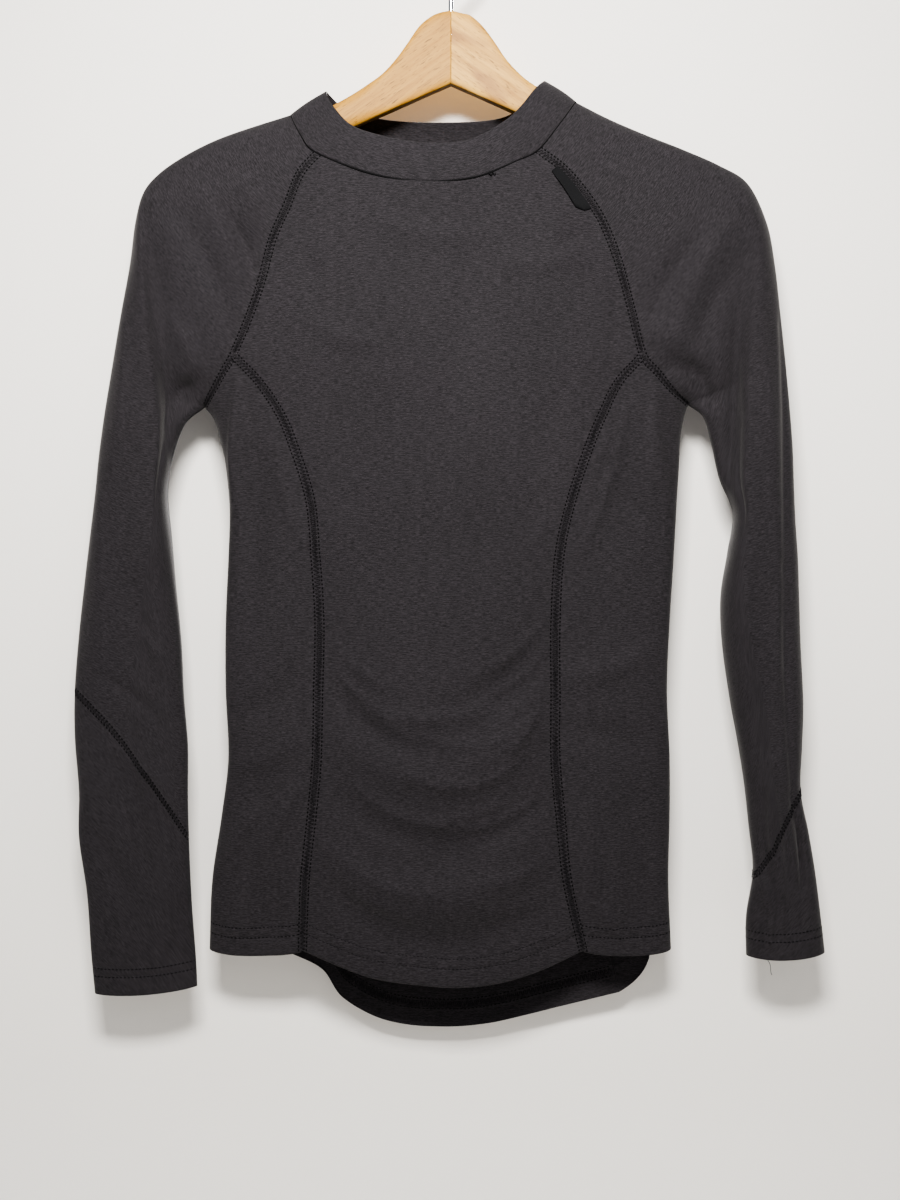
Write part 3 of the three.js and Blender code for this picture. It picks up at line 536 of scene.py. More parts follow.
def ripple(x, z, seed, size):
    """Slow unevenness of hanging jersey: six long sine waves in random directions."""
    rng = np.random.default_rng(seed)
    height = np.zeros(np.broadcast(x, z).shape)
    for _ in range(RIPPLE_WAVES):
        angle = rng.uniform(0, math.pi)
        wave = rng.uniform(28, 90)
        phase = rng.uniform(0, TAU)
        height += np.sin((x * math.cos(angle) + z * math.sin(angle)) * TAU / wave + phase)
    return height * size / RIPPLE_WAVES


def seam_pucker(distance, along, seed):
    """Small ripples square to a seam, strongest near it and gone some 14 mm away."""
    rng = np.random.default_rng(seed)
    height = sum(
        rng.uniform(0.4, 1) * np.sin(along * TAU / rng.uniform(9, 22) + rng.uniform(0, TAU))
        for _ in range(PUCKER_WAVES)
    )
    near = np.exp(-((distance / PUCKER_REACH) ** 2))
    return PUCKER_HEIGHT * height * near * smooth(distance, 0.5, 5)


def hem_relief(distance, rows):
    """Turned hem: the doubled cloth stands proud up to just above its upper stitches, each
    row of stitches sinks a groove, and the edge itself is rolled in."""
    proud = HEM_PROUD * (1 - smooth(distance, rows[1] + 0.6, rows[1] + 2))
    grooves = sum(np.exp(-(((distance - row) / 1.0) ** 2)) for row in rows)
    rolled = np.exp(-((distance / 0.8) ** 2))
    return proud - HEM_GROOVE * grooves - HEM_ROLL * rolled


def panel(face, u, level):
    """Front or back panel. The outline blends between the two seams, the neck curve and
    the hem, and the depth blends between the seams and the middle."""
    upper = np.minimum(level, BODY_SEAM_ROW)
    lower = np.maximum(level - BODY_SEAM_ROW, 0)
    on_raglan = (level <= BODY_SEAM_ROW)[..., None]
    left, right = (
        np.where(on_raglan, raglan(side, face, upper), body_seam(side, face, lower))
        for side in ("left", "right")
    )
    point = mix(left, right, u[..., None])
    outward = OUTWARD[face]

    band_left = BAND_PLACES["left"][face] + (0 if face == "front" else BAND_ROWS)
    band_right = BAND_PLACES["right"][face]
    neck = band_seam(mix(band_left, band_right, u))
    ends = band_seam(np.array([band_left, band_right]))
    neck_line = mix(ends[0], ends[1], u[..., None])
    neck_share = (1 - level / (BODY_SEAM_ROW + LAST_LEVEL)) ** 3

    hem = FRONT_HEM if face == "front" else BACK_HEM
    hem_row = u * (len(hem["x"]) - 1)
    hem_share = (lower / LAST_LEVEL) ** HEM_POWER
    corners = [body_seam(side, face, LAST_LEVEL) for side in ("left", "right")]
    for axis, name in ((0, "x"), (2, "z")):
        hem_line = mix(corners[0][axis], corners[1][axis], u)
        point[..., axis] += neck_share * (neck[..., axis] - neck_line[..., axis])
        point[..., axis] += hem_share * (spline(hem[name], hem_row) - hem_line)

    middles = BODY["middle_" + face]
    shape = 1 - np.abs(2 * u - 1) ** PANEL_ROUNDNESS
    seam_depth = point[..., 1] * outward
    depth = mix(seam_depth, spline(middles, lower), shape)
    top_depth = mix(neck_line[..., 1] * outward, middles[0], shape)
    depth += neck_share * (neck[..., 1] * outward - top_depth)

    x, z = point[..., 0], point[..., 2]
    creases = FRONT_CREASES if face == "front" else BACK_CREASES
    edge = np.minimum(u, 1 - u)
    inside = np.minimum(1, 6 * edge)
    unevenness = ripple(x, z, seed=11 + outward, size=0.7)
    depth += (crease_height(creases, x, z) + unevenness) * inside
    width = right[..., 0] - left[..., 0]
    depth += seam_pucker(edge * width, z, seed=21 + outward)
    depth += hem_relief(z - spline(hem["z"], hem_row), HEM_ROWS)
    point[..., 1] = depth * outward
    return point


def across_row(column, fold):
    """How far across a row a column stands, with the fold on its middle column."""
    inner = fold * (1 - np.cos(math.pi * column))
    outer = fold + (1 - fold) * np.sin(math.pi * (column - 0.5))
    return np.where(column < 0.5, inner, outer)


def bulge(column, closed, step):
    """Two quarter ovals that meet on the fold, or a low hump where the section is open,
    with a step down beside the fold."""
    rise = np.where(column < 0.5, np.cos(math.pi * column), np.sin(math.pi * (column - 0.5)))
    oval = (1 - np.clip(np.abs(rise), 0, 1) ** TUBE_ROUNDNESS) ** (1 / TUBE_ROUNDNESS)
    hump = np.sin(math.pi * column) ** 2
    stepped = np.where(column < 0.5, 1 - step * (1 - smooth(column, 0.44, 0.5)), 1)
    return mix(hump, oval, closed) * stepped


def halves(turn):
    """Whether a place round a folded piece is on its front half, for a turn of 0 to 2, and
    its column, from 0 at the seam to 1 at the folded edge."""
    on_front = turn <= 1
    return on_front, np.where(on_front, turn, 2 - turn)


def fold_around(front, ridge, back, turn, form):
    """Cloth folded round an edge, from the front seam over the ridge to the back seam."""
    on_front, column = halves(turn)
    seam = np.where(on_front[..., None], front, back)
    fold = np.where(on_front, form["fold"], 0.5)
    step = np.where(on_front, form["step"], 0)
    across = across_row(column, fold)
    point = mix(seam, ridge, across[..., None])
    swell = bulge(column, form["closed"], step) * np.where(on_front, -form["front"], form["back"])
    seam_y = seam[..., 1]
    ridge_y = ridge[..., 1]
    point[..., 1] = ridge_y + (seam_y - ridge_y) * (1 - across) ** form["power"] + swell
    return point


def add_creases(point, turn, front_creases, back_creases, seed, size):
    """Moves the front half by its creases towards -Y and the back half towards +Y."""
    on_front, column = halves(turn)
    x, z = point[..., 0], point[..., 2]
    inside = np.minimum(1, 8 * column) * smooth(1 - column, 0, 0.14)
    front = crease_height(front_creases, x, z)
    back = crease_height(back_creases, x, z)
    height = np.where(on_front, front, back) + ripple(x, z, seed, size)
    point[..., 1] += np.where(on_front, -1, 1) * height * inside


SIDE_FORM = {
    "front": 2, "back": 2, "closed": 0, "fold": 0.5, "step": 0, "power": RIDGE_POWER,
}


def side_panel(side, turn, level):
    """Side panel: folded round the side edge, with the armhole on top and the hem below."""
    front = body_seam(side, "front", level)
    back = body_seam(side, "back", level)
    point = fold_around(front, body_side(side, level), back, turn, SIDE_FORM)
    on_front, column = halves(turn)

    armhole_row = BODY_SEAM_ROW + (UNDERARM_ROW - BODY_SEAM_ROW) * column
    armhole = np.where(
        on_front[..., None],
        raglan(side, "front", armhole_row),
        raglan(side, "back", armhole_row),
    )
    top = fold_around(
        body_seam(side, "front", 0), body_side(side, 0), body_seam(side, "back", 0),
        turn, SIDE_FORM,
    )
    share = np.maximum(0, 1 - level / 3) ** 2
    point += (armhole - top) * share[..., None]

    hem_share = (level / LAST_LEVEL) ** HEM_POWER
    back_corner = BACK_HEM["z"][0 if side == "left" else -1] - BODY["seam_z"][-1]
    tail = back_corner * np.sqrt(1 - np.clip(column / TAIL_REACH, 0, 1) ** 2)
    dip = -SIDE_HEM_DIP * np.sin(math.pi * column)
    point[..., 2] += hem_share * np.where(on_front, dip, tail)
    add_creases(point, turn, SIDE_CREASES[side], SIDE_CREASES[side], seed=31, size=0.7)
    width = np.abs(front[..., 0] - point[..., 0])
    outward = np.where(on_front, -1, 1)
    point[..., 1] += outward * seam_pucker(width, point[..., 2], seed=41)
    relief = hem_relief((LAST_LEVEL - level) * LAST_LEVEL_HEIGHT, HEM_ROWS)
    point[..., 1] += outward * relief * smooth(1 - column, 0, 0.2)
    return point


def sleeve_start(side, face, row):
    """Where a sleeve row starts: on the raglan seam, or below it on the inner edge."""
    below = np.maximum(row - UNDERARM_ROW, 0)
    inner = SLEEVE_INNER[side]
    under = join(
        spline(inner["x"], below),
        mix(OUTWARD[face], SLEEVE_INNER_Y, np.minimum(below, 1)),
        spline(inner["z"], below),
    )
    seam = raglan(side, face, np.minimum(row, UNDERARM_ROW))
    return np.where((row <= UNDERARM_ROW)[..., None], seam, under)


def sleeve_form(side, row):
    """Section of a sleeve at a row: how far it bulges to each side, how closed it is, and
    where it folds."""
    rows = SLEEVE_OUTER[side]
    return {
        "front": spline(rows["front"], row),
        "back": spline(rows["back"], row),
        "closed": np.clip(spline(rows["closed"], row), 0, 1),
        "fold": np.clip(spline(rows["fold"], row), 0.1, 0.92),
        "step": np.clip(spline(rows["step"], row), 0, 1),
        "power": mix(RIDGE_POWER, UNDERARM_POWER, smooth(row, 5, UNDERARM_ROW)),
    }


def sleeve(side, turn, row):
    """Sleeve: a fan of rows folded over the shoulder, which closes to a tube below."""
    turn, row = np.broadcast_arrays(np.asarray(turn, float), np.asarray(row, float))
    rows = SLEEVE_OUTER[side]
    ridge = join(*(spline(rows[axis], row) for axis in "xyz"))
    front = sleeve_start(side, "front", row)
    back = sleeve_start(side, "back", row)
    point = fold_around(front, ridge, back, turn, sleeve_form(side, row))

    places = BAND_PLACES[side]
    shoulder = mix(places["front"], places["ridge"], turn)
    behind = mix(places["ridge"], places["back"], turn - 1)
    neck = band_seam(np.where(turn <= 1, shoulder, behind))
    top = fold_around(
        raglan(side, "front", 0), band_seam(places["ridge"]), raglan(side, "back", 0),
        turn, sleeve_form(side, 0),
    )
    share = np.maximum(0, 1 - row / 2) ** 2
    point += (neck - top) * share[..., None]
    front_creases, back_creases = SLEEVE_CREASES[side], SLEEVE_BACK_CREASES[side]
    add_creases(point, turn, front_creases, back_creases, seed=51, size=0.6)
    return point


def forearm_row(side, turn):
    """Row of the slanting forearm seam at a place round the sleeve."""
    seam = FOREARM_SEAM[side]
    across = across_row(halves(turn)[1], 0.5)
    return mix(seam["inner"], seam["outer"], across) + seam["bow"] * np.sin(math.pi * across)


def forearm(side, turn, share):
    """Forearm piece from the slanting seam to the cuff, whose edge dips in the middle."""
    last = len(SLEEVE_OUTER[side]["x"]) - 1
    point = sleeve(side, turn, mix(forearm_row(side, turn), last, share))
    on_front, column = halves(turn)
    edge = sleeve(side, turn, last)
    relief = hem_relief(np.linalg.norm(point - edge, axis=-1), CUFF_ROWS)
    outward = np.where(on_front, -1, 1)
    point[..., 1] += outward * relief * np.sin(math.pi * np.clip(column, 0.02, 0.98)) ** 0.5
    point[..., 2] -= CUFF_DIP * np.sin(math.pi * column) ** 2 * share**6
    return point


def lower_sleeve(side, turn, share):
    """Sleeve tube between the underarm and the forearm seam."""
    return sleeve(side, turn, mix(UNDERARM_ROW, forearm_row(side, turn), share))


BAND_SWELL = 1.5
BAND_MIDDLE_X = -15


def band_outward(point):
    """Level direction out of the neck hole, turned more to the front and the back."""
    outward = join(point[..., 0] - BAND_MIDDLE_X, point[..., 1] * 3, 0)
    return outward / np.linalg.norm(outward, axis=-1, keepdims=True)


def neckband(row, share):
    """Neckband from its folded top edge to its seam, swelling outwards between them."""
    point = mix(band_top(row), band_seam(row), share[..., None])
    return point + band_outward(point) * (BAND_SWELL * np.sin(math.pi * share))[..., None]


# Meshes from grids

def finer_at_end(rows, fine_rows, last, fine_from):
    """Row places that run evenly to near the end and then close up."""
    coarse = np.linspace(0, fine_from, rows - fine_rows)
    return np.concatenate((coarse, np.linspace(fine_from, last, fine_rows + 1)[1:]))


def finer_at_edges(columns):
    """Column places from 0 to 1 that close up towards both edges."""
    even = np.linspace(0, 1, columns)
    return mix(even, 0.5 - 0.5 * np.cos(math.pi * even), 0.55)


def spread(rows, columns):
    """Two arrays that give every grid point its row and column place."""
    return rows[:, None] * np.ones(len(columns)), columns * np.ones((len(rows), 1))


def arc_lengths(points, axis):
    """Distance run along one axis of a grid of points."""
    steps = np.linalg.norm(np.diff(points, axis=axis), axis=-1)
    start = np.zeros_like(np.take(steps, [0], axis=axis))
    return np.concatenate((start, np.cumsum(steps, axis=axis)), axis=axis)


def fill_mesh(mesh, vertices, faces, uvs=None):
    """Puts vertices in metres, faces of equal size and a UV for each vertex into a mesh."""
    faces = np.asarray(faces, np.int32)
    sides = faces.shape[1]
    mesh.vertices.add(len(vertices))
    mesh.vertices.foreach_set("co", np.asarray(vertices, np.float32).ravel())
    mesh.loops.add(faces.size)
    mesh.loops.foreach_set("vertex_index", faces.ravel())
    mesh.polygons.add(len(faces))
    mesh.polygons.foreach_set("loop_start", np.arange(0, faces.size, sides, dtype=np.int32))
    mesh.polygons.foreach_set("use_smooth", np.ones(len(faces), bool))
    mesh.update(calc_edges=True)
    if uvs is not None:
        layer = mesh.uv_layers.new(name="UVMap")
        layer.data.foreach_set("uv", np.asarray(uvs, np.float32)[faces.ravel()].ravel())
    mesh.validate()


def grid_faces(rows, columns, closed_columns=False):
    """Quads between neighbouring grid points, with the columns closed on themselves or not."""
    numbers = np.arange(rows * columns).reshape(rows, columns)
    if closed_columns:
        numbers = np.hstack((numbers, numbers[:, :1]))
    corners = (numbers[:-1, :-1], numbers[:-1, 1:], numbers[1:, 1:], numbers[1:, :-1])
    return np.stack(corners, axis=-1).reshape(-1, 4)


def close_ends(faces, stations, columns):
    """Fans that close the first and last ring on two points after the last vertex."""
    number = np.arange(columns)
    after = np.roll(number, -1)
    first = np.full(columns, stations * columns)
    start = (stations - 1) * columns
    low = np.stack((first, after, number), axis=-1)
    high = np.stack((first + 1, start + number, start + after), axis=-1)
    triangles = np.concatenate((faces[:, [0, 1, 2]], faces[:, [0, 2, 3]]))
    return np.concatenate((triangles, low, high))


def closed_tube(rings):
    """Vertices and faces of rings joined in a row, with a fan over each end."""
    stations, columns = rings.shape[:2]
    vertices = np.concatenate((rings.reshape(-1, 3), rings[[0, -1]].mean(axis=1)))
    sides = grid_faces(stations, columns, closed_columns=True)
    return vertices, close_ends(sides, stations, columns)


def new_piece(name, vertices, faces, material, uvs=None):
    """A named mesh object at the origin, in millimetres in, which rides on the garment."""
    mesh = bpy.data.meshes.new(name)
    fill_mesh(mesh, np.asarray(vertices) * MM, faces, uvs)
    mesh.materials.append(material)
    piece = bpy.data.objects.new(name, mesh)
    bpy.context.scene.collection.objects.link(piece)
    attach(piece, "root")
    return piece


def cloth_piece(name, node, points, thickness, flip=False, upright=False):
    """A thin shell of jersey on a grid of points, which stands for a node. The UVs are the
    run along the cloth in metres, and on an upright piece the second one is the height, as
    its courses lie level."""
    rows, columns = points.shape[:2]
    faces = grid_faces(rows, columns)
    if flip:
        faces = faces[:, ::-1]
    along = arc_lengths(points, 1) * MM
    up = points[..., 2] * MM if upright else -arc_lengths(points, 0) * MM
    along -= along[:, columns // 2][:, None]
    uvs = np.stack((along, up), axis=-1).reshape(-1, 2)
    piece = new_piece(name, points.reshape(-1, 3), faces, material("jersey"), uvs)
    wall = piece.modifiers.new("Wall", "SOLIDIFY")
    wall.thickness = thickness * MM
    wall.offset = 0
    wall.use_even_offset = False
    declare_cloth(node)


def declare_cloth(node):
    """Hides the imported solid that a cloth piece stands for."""
    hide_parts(node)


# Materials

def shader(name, base, roughness, specular=0.5, metallic=0.0, sheen=0.0):
    """A material with its constants set on the shader's own sockets."""
    material = bpy.data.materials.new(name)
    material.use_nodes = True
    tree = material.node_tree
    surface = tree.nodes["Principled BSDF"]
    surface.inputs["Base Color"].default_value = (*base, 1)
    surface.inputs["Roughness"].default_value = roughness
    surface.inputs["Metallic"].default_value = metallic
    surface.inputs["Specular IOR Level"].default_value = specular
    if sheen:
        surface.inputs["Sheen Weight"].default_value = sheen
        surface.inputs["Sheen Roughness"].default_value = 0.45
        surface.inputs["Sheen Tint"].default_value = (0.75, 0.72, 0.7, 1)
    return material, tree, surface


class Nodes:
    """Short calls for the nodes that the materials share."""

    def __init__(self, tree, source="Object"):
        self.tree = tree
        self.place = self.add("ShaderNodeTexCoord").outputs[source]

    def add(self, kind, **settings):
        """A new node with some of its properties set."""
        node = self.tree.nodes.new(kind)
        for key, value in settings.items():
            setattr(node, key, value)
        return node

    def link(self, output, socket):
        """Joins an output to a socket."""
        self.tree.links.new(output, socket)

    def scaled(self, scale, place=None):
        """The place stretched by three scales."""
        node = self.add("ShaderNodeMapping")
        node.inputs["Scale"].default_value = scale
        self.link(place or self.place, node.inputs["Vector"])
        return node.outputs["Vector"]

    def noise(self, vector, scale, detail=2.0, roughness=0.5, distortion=0.0):
        """Grey noise on a vector."""
        node = self.add("ShaderNodeTexNoise")
        node.inputs["Scale"].default_value = scale
        node.inputs["Detail"].default_value = detail
        node.inputs["Roughness"].default_value = roughness
        node.inputs["Distortion"].default_value = distortion
        self.link(vector, node.inputs["Vector"])
        return node.outputs["Fac"]

    def ramp(self, value, stops):
        """Colours or greys at places along 0 to 1."""
        node = self.add("ShaderNodeValToRGB")
        elements = node.color_ramp.elements
        while len(elements) < len(stops):
            elements.new(0.5)
        for element, (position, colour) in zip(elements, stops):
            element.position = position
            element.color = (*colour, 1) if isinstance(colour, tuple) else (colour,) * 3 + (1,)
        self.link(value, node.inputs["Fac"])
        return node.outputs["Color"]

    def maths(self, kind, a, b):
        """A sum, product or the like of two values, each an output or a number."""
        node = self.add("ShaderNodeMath", operation=kind)
        for socket, value in zip(node.inputs, (a, b)):
            if isinstance(value, (int, float)):
                socket.default_value = value
            else:
                self.link(value, socket)
        return node.outputs["Value"]

    def blend(self, share, a, b, kind="MIX"):
        """Two colours mixed by a share, each of the three an output or a constant."""
        node = self.add("ShaderNodeMix", data_type="RGBA", blend_type=kind)
        for socket, value in zip((node.inputs[0], node.inputs[6], node.inputs[7]), (share, a, b)):
            if isinstance(value, (int, float)):
                socket.default_value = value
            elif isinstance(value, tuple):
                socket.default_value = (*value, 1)
            else:
                self.link(value, socket)
        return node.outputs[2]

    def bump(self, height, strength, distance, under=None):
        """Normals of a height of so many metres, on top of other normals where given."""
        node = self.add("ShaderNodeBump")
        node.inputs["Strength"].default_value = strength
        node.inputs["Distance"].default_value = distance
        self.link(height, node.inputs["Height"])
        if under:
            self.link(under, node.inputs["Normal"])
        return node.outputs["Normal"]


def jersey_material(colour, lit):
    """Fine heather jersey on the cloth's own UVs: ribs of knit loops about 1 mm apart, short
    streaks along the courses, a slow unevenness and a few pale specks of lint."""
    material, tree, surface = shader("jersey", colour, 0.86, 0.22, 0, 0.16)
    n = Nodes(tree, "UV")
    streaks = n.noise(n.scaled((380, 2300, 1)), 1, 2, 0.6)
    yarns = n.noise(n.scaled((130, 1300, 1)), 1, 2, 0.6)
    slow = n.noise(n.scaled((9, 6, 1)), 1, 3, 0.55)
    heather = n.maths("ADD", n.maths("MULTIPLY", streaks, 0.6), n.maths("MULTIPLY", yarns, 0.4))
    pale = tuple(1.75 * c for c in lit)
    deep = tuple(0.7 * c for c in colour)
    tone = n.ramp(heather, ((0.40, deep), (0.50, lit), (0.60, pale)))
    shade = n.ramp(slow, ((0.3, 0.86), (0.7, 1.0)))
    worn = n.blend(1.0, tone, shade, "MULTIPLY")
    specks = n.add("ShaderNodeTexVoronoi", feature="F1")
    specks.inputs["Scale"].default_value = 62
    n.link(n.place, specks.inputs["Vector"])
    lint = n.ramp(specks.outputs["Distance"], ((0.018, 1.0), (0.032, 0.0)))
    rare = n.ramp(specks.outputs["Color"], ((0.93, 0.0), (0.95, 1.0)))
    share = n.maths("MULTIPLY", n.maths("MULTIPLY", lint, rare), 0.35)
    n.link(n.blend(share, worn, (0.30, 0.28, 0.26)), surface.inputs["Base Color"])
    loops = n.add("ShaderNodeTexWave", wave_type="BANDS", bands_direction="X")
    loops.inputs["Scale"].default_value = 290
    loops.inputs["Distortion"].default_value = 1.2
    loops.inputs["Detail Scale"].default_value = 900
    n.link(n.place, loops.inputs["Vector"])
    knit = n.bump(loops.outputs["Fac"], 0.25, 0.00012)
    grain = n.bump(heather, 0.55, 0.00025, knit)
    n.link(n.bump(slow, 0.5, 0.0012, grain), surface.inputs["Normal"])
    return material


def thread_material(colour):
    """Sewing thread: a fine slanting twist and slightly uneven tone."""
    material, tree, surface = shader("thread", colour, 0.75, 0.12, 0, 0.02)
    n = Nodes(tree)
    uneven = n.noise(n.scaled((900, 900, 900)), 1, 2)
    dark = tuple(0.55 * c for c in colour)
    lit = tuple(2.0 * c for c in colour)
    n.link(n.ramp(uneven, ((0.35, dark), (0.7, lit))), surface.inputs["Base Color"])
    n.link(n.bump(n.noise(n.scaled((3000, 3000, 3000)), 1), 0.5, 0.00015), surface.inputs["Normal"])
    return material


def tape_material(colour):
    """Flat woven tape: a fine rib across, in two yarns that catch the light unevenly."""
    material, tree, surface = shader("tape", colour, 0.7, 0.15, 0, 0.02)
    n = Nodes(tree, "UV")
    weave = n.add("ShaderNodeTexWave", wave_type="BANDS", bands_direction="X")
    weave.inputs["Scale"].default_value = 420
    weave.inputs["Distortion"].default_value = 0.5
    n.link(n.place, weave.inputs["Vector"])
    uneven = n.noise(n.scaled((700, 2500, 1)), 1, 2)
    lit = tuple(1.9 * c for c in colour)
    n.link(n.ramp(uneven, ((0.35, colour), (0.75, lit))), surface.inputs["Base Color"])
    n.link(n.bump(weave.outputs["Fac"], 0.6, 0.0002), surface.inputs["Normal"])
    return material


# Settings

class GarmentSettings(bpy.types.PropertyGroup):
    """Sizes and colours of the top."""

    jersey_colour: bpy.props.FloatVectorProperty(
        name="Jersey", description="Darker yarn of the heather jersey",
        default=(0.0096, 0.0082, 0.0095), subtype="COLOR", min=0, max=1,
    )
    jersey_lit: bpy.props.FloatVectorProperty(
        name="Jersey, lighter yarn", description="Paler yarn of the heather jersey",
        default=(0.0162, 0.0140, 0.0160), subtype="COLOR", min=0, max=1,
    )
    thread_colour: bpy.props.FloatVectorProperty(
        name="Thread", description="Sewing thread",
        default=(0.0085, 0.0075, 0.0085), subtype="COLOR", min=0, max=1,
    )
    # Near-black needle thread: the black thread darkened further as painted shade of its stitch
    # holes; also the colour of the painted shadow line round the neckband's foot
    needle_thread_and_shadow_colour: bpy.props.FloatVectorProperty(
        name="Needle thread", description="Thread of the stitch rows that sink into the cloth",
        default=(0.0012, 0.0011, 0.0013), subtype="COLOR", min=0, max=1,
    )
    tape_colour: bpy.props.FloatVectorProperty(
        name="Tape", description="Woven tape of the seam tab",
        default=(0.0022, 0.0022, 0.0026), subtype="COLOR", min=0, max=1,
    )
    crease_depth: bpy.props.FloatProperty(
        name="Crease depth", description="Depth of all creases, as a share of their table",
        default=2.1, min=0, max=3,
    )
    wall: bpy.props.FloatProperty(
        name="Cloth thickness", description="Thickness of the jersey in millimetres",
        default=1.0, min=0.4, max=3,
    )
    band_wall: bpy.props.FloatProperty(
        name="Neckband thickness", description="Thickness of the doubled neckband in millimetres",
        default=2.0, min=0.8, max=4,
    )
    stitch_length: bpy.props.FloatProperty(
        name="Stitch length", description="Length of one stitch in millimetres",
        default=2.9, min=1.2, max=6,
    )
    flatlock_width: bpy.props.FloatProperty(
        name="Flatlock width", description="Width of a flatlock seam in millimetres",
        default=6.0, min=3, max=9,
    )


def settings():
    """The sizes and colours of the top in this scene."""
    return bpy.context.scene.base_layer_top


MATERIALS = {}


def material(name):
    """The material of a name, made the first time that a piece asks for it."""
    if name not in MATERIALS:
        size = settings()
        makers = {
            "jersey": lambda: jersey_material(tuple(size.jersey_colour), tuple(size.jersey_lit)),
            "thread": lambda: thread_material(tuple(size.thread_colour)),
            "tape": lambda: tape_material(tuple(size.tape_colour)),
            # Needle thread, darkened as painted shade of the stitch holes, and the painted neck
            # shadow line
            "needle": lambda: thread_material(tuple(size.needle_thread_and_shadow_colour)),
            "beech_left": lambda: wood_material("beech_left", **BEECH["left"]),
            "beech_right": lambda: wood_material("beech_right", **BEECH["right"]),
            "chrome": chrome_material,
        }
        MATERIALS[name] = makers[name]()
    return MATERIALS[name]


class MakePanels(bpy.types.Operator):
    """Front and back panels between the shaped seams"""

    bl_idname = "base_layer.panels"
    bl_label = "Front and back"

    def execute(self, context):
        last = BODY_SEAM_ROW + LAST_LEVEL
        for face, (rows, columns) in PANEL_GRID.items():
            levels = finer_at_end(rows, PANEL_HEM_GRID_ROWS, last, last - 0.5)
            level, u = spread(levels, finer_at_edges(columns))
            cloth_piece(
                face + "_cloth", face + "_panel", panel(face, u, level), settings().wall,
                flip=face == "front", upright=True,
            )
        return {"FINISHED"}


class MakeSides(bpy.types.Operator):
    """Side panels, folded round the side edges"""

    bl_idname = "base_layer.sides"
    bl_label = "Side panels"

    def execute(self, context):
        for side in ("left", "right"):
            rows, columns = SIDE_GRID
            levels = finer_at_end(rows, SIDE_HEM_GRID_ROWS, LAST_LEVEL, LAST_LEVEL - 0.5)
            level, turn = spread(levels, np.linspace(0, 2, columns))
            cloth_piece(
                f"side_cloth_{side}", "side_panel_" + side, side_panel(side, turn, level),
                settings().wall, flip=side == "right", upright=True,
            )
        return {"FINISHED"}


def sleeve_points(side, rows, columns):
    """Upper sleeve: half of its rows are the open fan down to the underarm, and the others
    are the tube below it."""
    fan_rows = rows // 2
    turns = np.linspace(0, 2, columns)
    row, turn = spread(np.linspace(0, UNDERARM_ROW, fan_rows), turns)
    fan = sleeve(side, turn, row)
    share, turn = spread(np.linspace(0, 1, rows - fan_rows + 1), turns)
    below = lower_sleeve(side, turn, share)
    return np.concatenate((fan, below[1:]))


class MakeSleeves(bpy.types.Operator):
    """Raglan sleeves and their forearm pieces"""

    bl_idname = "base_layer.sleeves"
    bl_label = "Sleeves"

    def execute(self, context):
        for side in ("left", "right"):
            rows, columns = FOREARM_GRID
            shares = finer_at_end(rows, CUFF_GRID_ROWS, 1, 0.86)
            share, turn = spread(shares, np.linspace(0, 2, columns))
            for name, node, points in (
                ("sleeve_cloth_", "sleeve_", sleeve_points(side, *SLEEVE_GRID)),
                ("forearm_cloth_", "forearm_", forearm(side, turn, share)),
            ):
                cloth_piece(
                    name + side, node + side, points, settings().wall, flip=side == "right"
                )
        return {"FINISHED"}


class MakeNeckband(bpy.types.Operator):
    """Doubled neckband, sewn round the neck hole"""

    bl_idname = "base_layer.neckband"
    bl_label = "Neckband"

    def execute(self, context):
        rows, columns = BAND_GRID
        share, row = spread(np.linspace(0, 1, rows), np.linspace(0, BAND_ROWS, columns))
        points = neckband(row, share)
        cloth_piece("neckband_cloth", "neckband", points, settings().band_wall, flip=True)
        return {"FINISHED"}


# Seams: strips of the cloth beside a seam, and thread laid along them

STRIP_REACH = 5.0
STRIP_STEP = 0.5
SEAM_STEP = 0.45
# How the columns beside a seam crowd towards it
SEAM_CROWDING = 1.6


def along_rows(values, cumulative, wanted):
    """Linear run of each row of values to one distance along that row."""
    last = values.shape[1] - 2
    k = np.clip((cumulative <= wanted).sum(axis=1) - 1, 0, last)
    rows = np.arange(len(values))
    low, high = cumulative[rows, k], cumulative[rows, k + 1]
    share = ((wanted - low) / np.maximum(high - low, 1e-9))[:, None]
    return mix(values[rows, k], values[rows, k + 1], share)


def lanes_away(points, distances):
    """Lines beside the first column of a grid, at set distances along its rows."""
    cumulative = arc_lengths(points, 1)
    return np.stack([along_rows(points, cumulative, d) for d in distances], axis=1)


def even_rows(strip, column, step):
    """The strip again with its rows at equal steps along one of its lanes."""
    run = arc_lengths(strip[:, column:column + 1], 0)[:, 0]
    count = max(int(run[-1] / step), 8)
    places = np.linspace(0, run[-1], count)
    at = np.interp(places, run, np.arange(len(run)))
    k = np.clip(at.astype(int), 0, len(run) - 2)
    return mix(strip[k], strip[k + 1], (at - k)[:, None, None]), places


def seam_strip(first, second):
    """Cloth up to 5 mm to both sides of a seam, from two grids whose first columns are the
    seam, as a regular strip, and how far along the seam each of its rows is."""
    distances = np.arange(STRIP_STEP, STRIP_REACH + 0.01, STRIP_STEP)
    one = lanes_away(first, distances)[:, ::-1]
    other = lanes_away(second, distances)
    middle = (first[:, :1] + second[:, :1]) / 2
    strip = np.concatenate((one, middle, other), axis=1)
    return even_rows(strip, len(distances), SEAM_STEP)


def hem_strip(points, distance):
    """Cloth to both sides of a line that runs at a distance from a grid's first column."""
    distances = np.arange(distance - STRIP_REACH, distance + STRIP_REACH + 0.01, STRIP_STEP)
    return even_rows(lanes_away(points, distances), len(distances) // 2, SEAM_STEP)


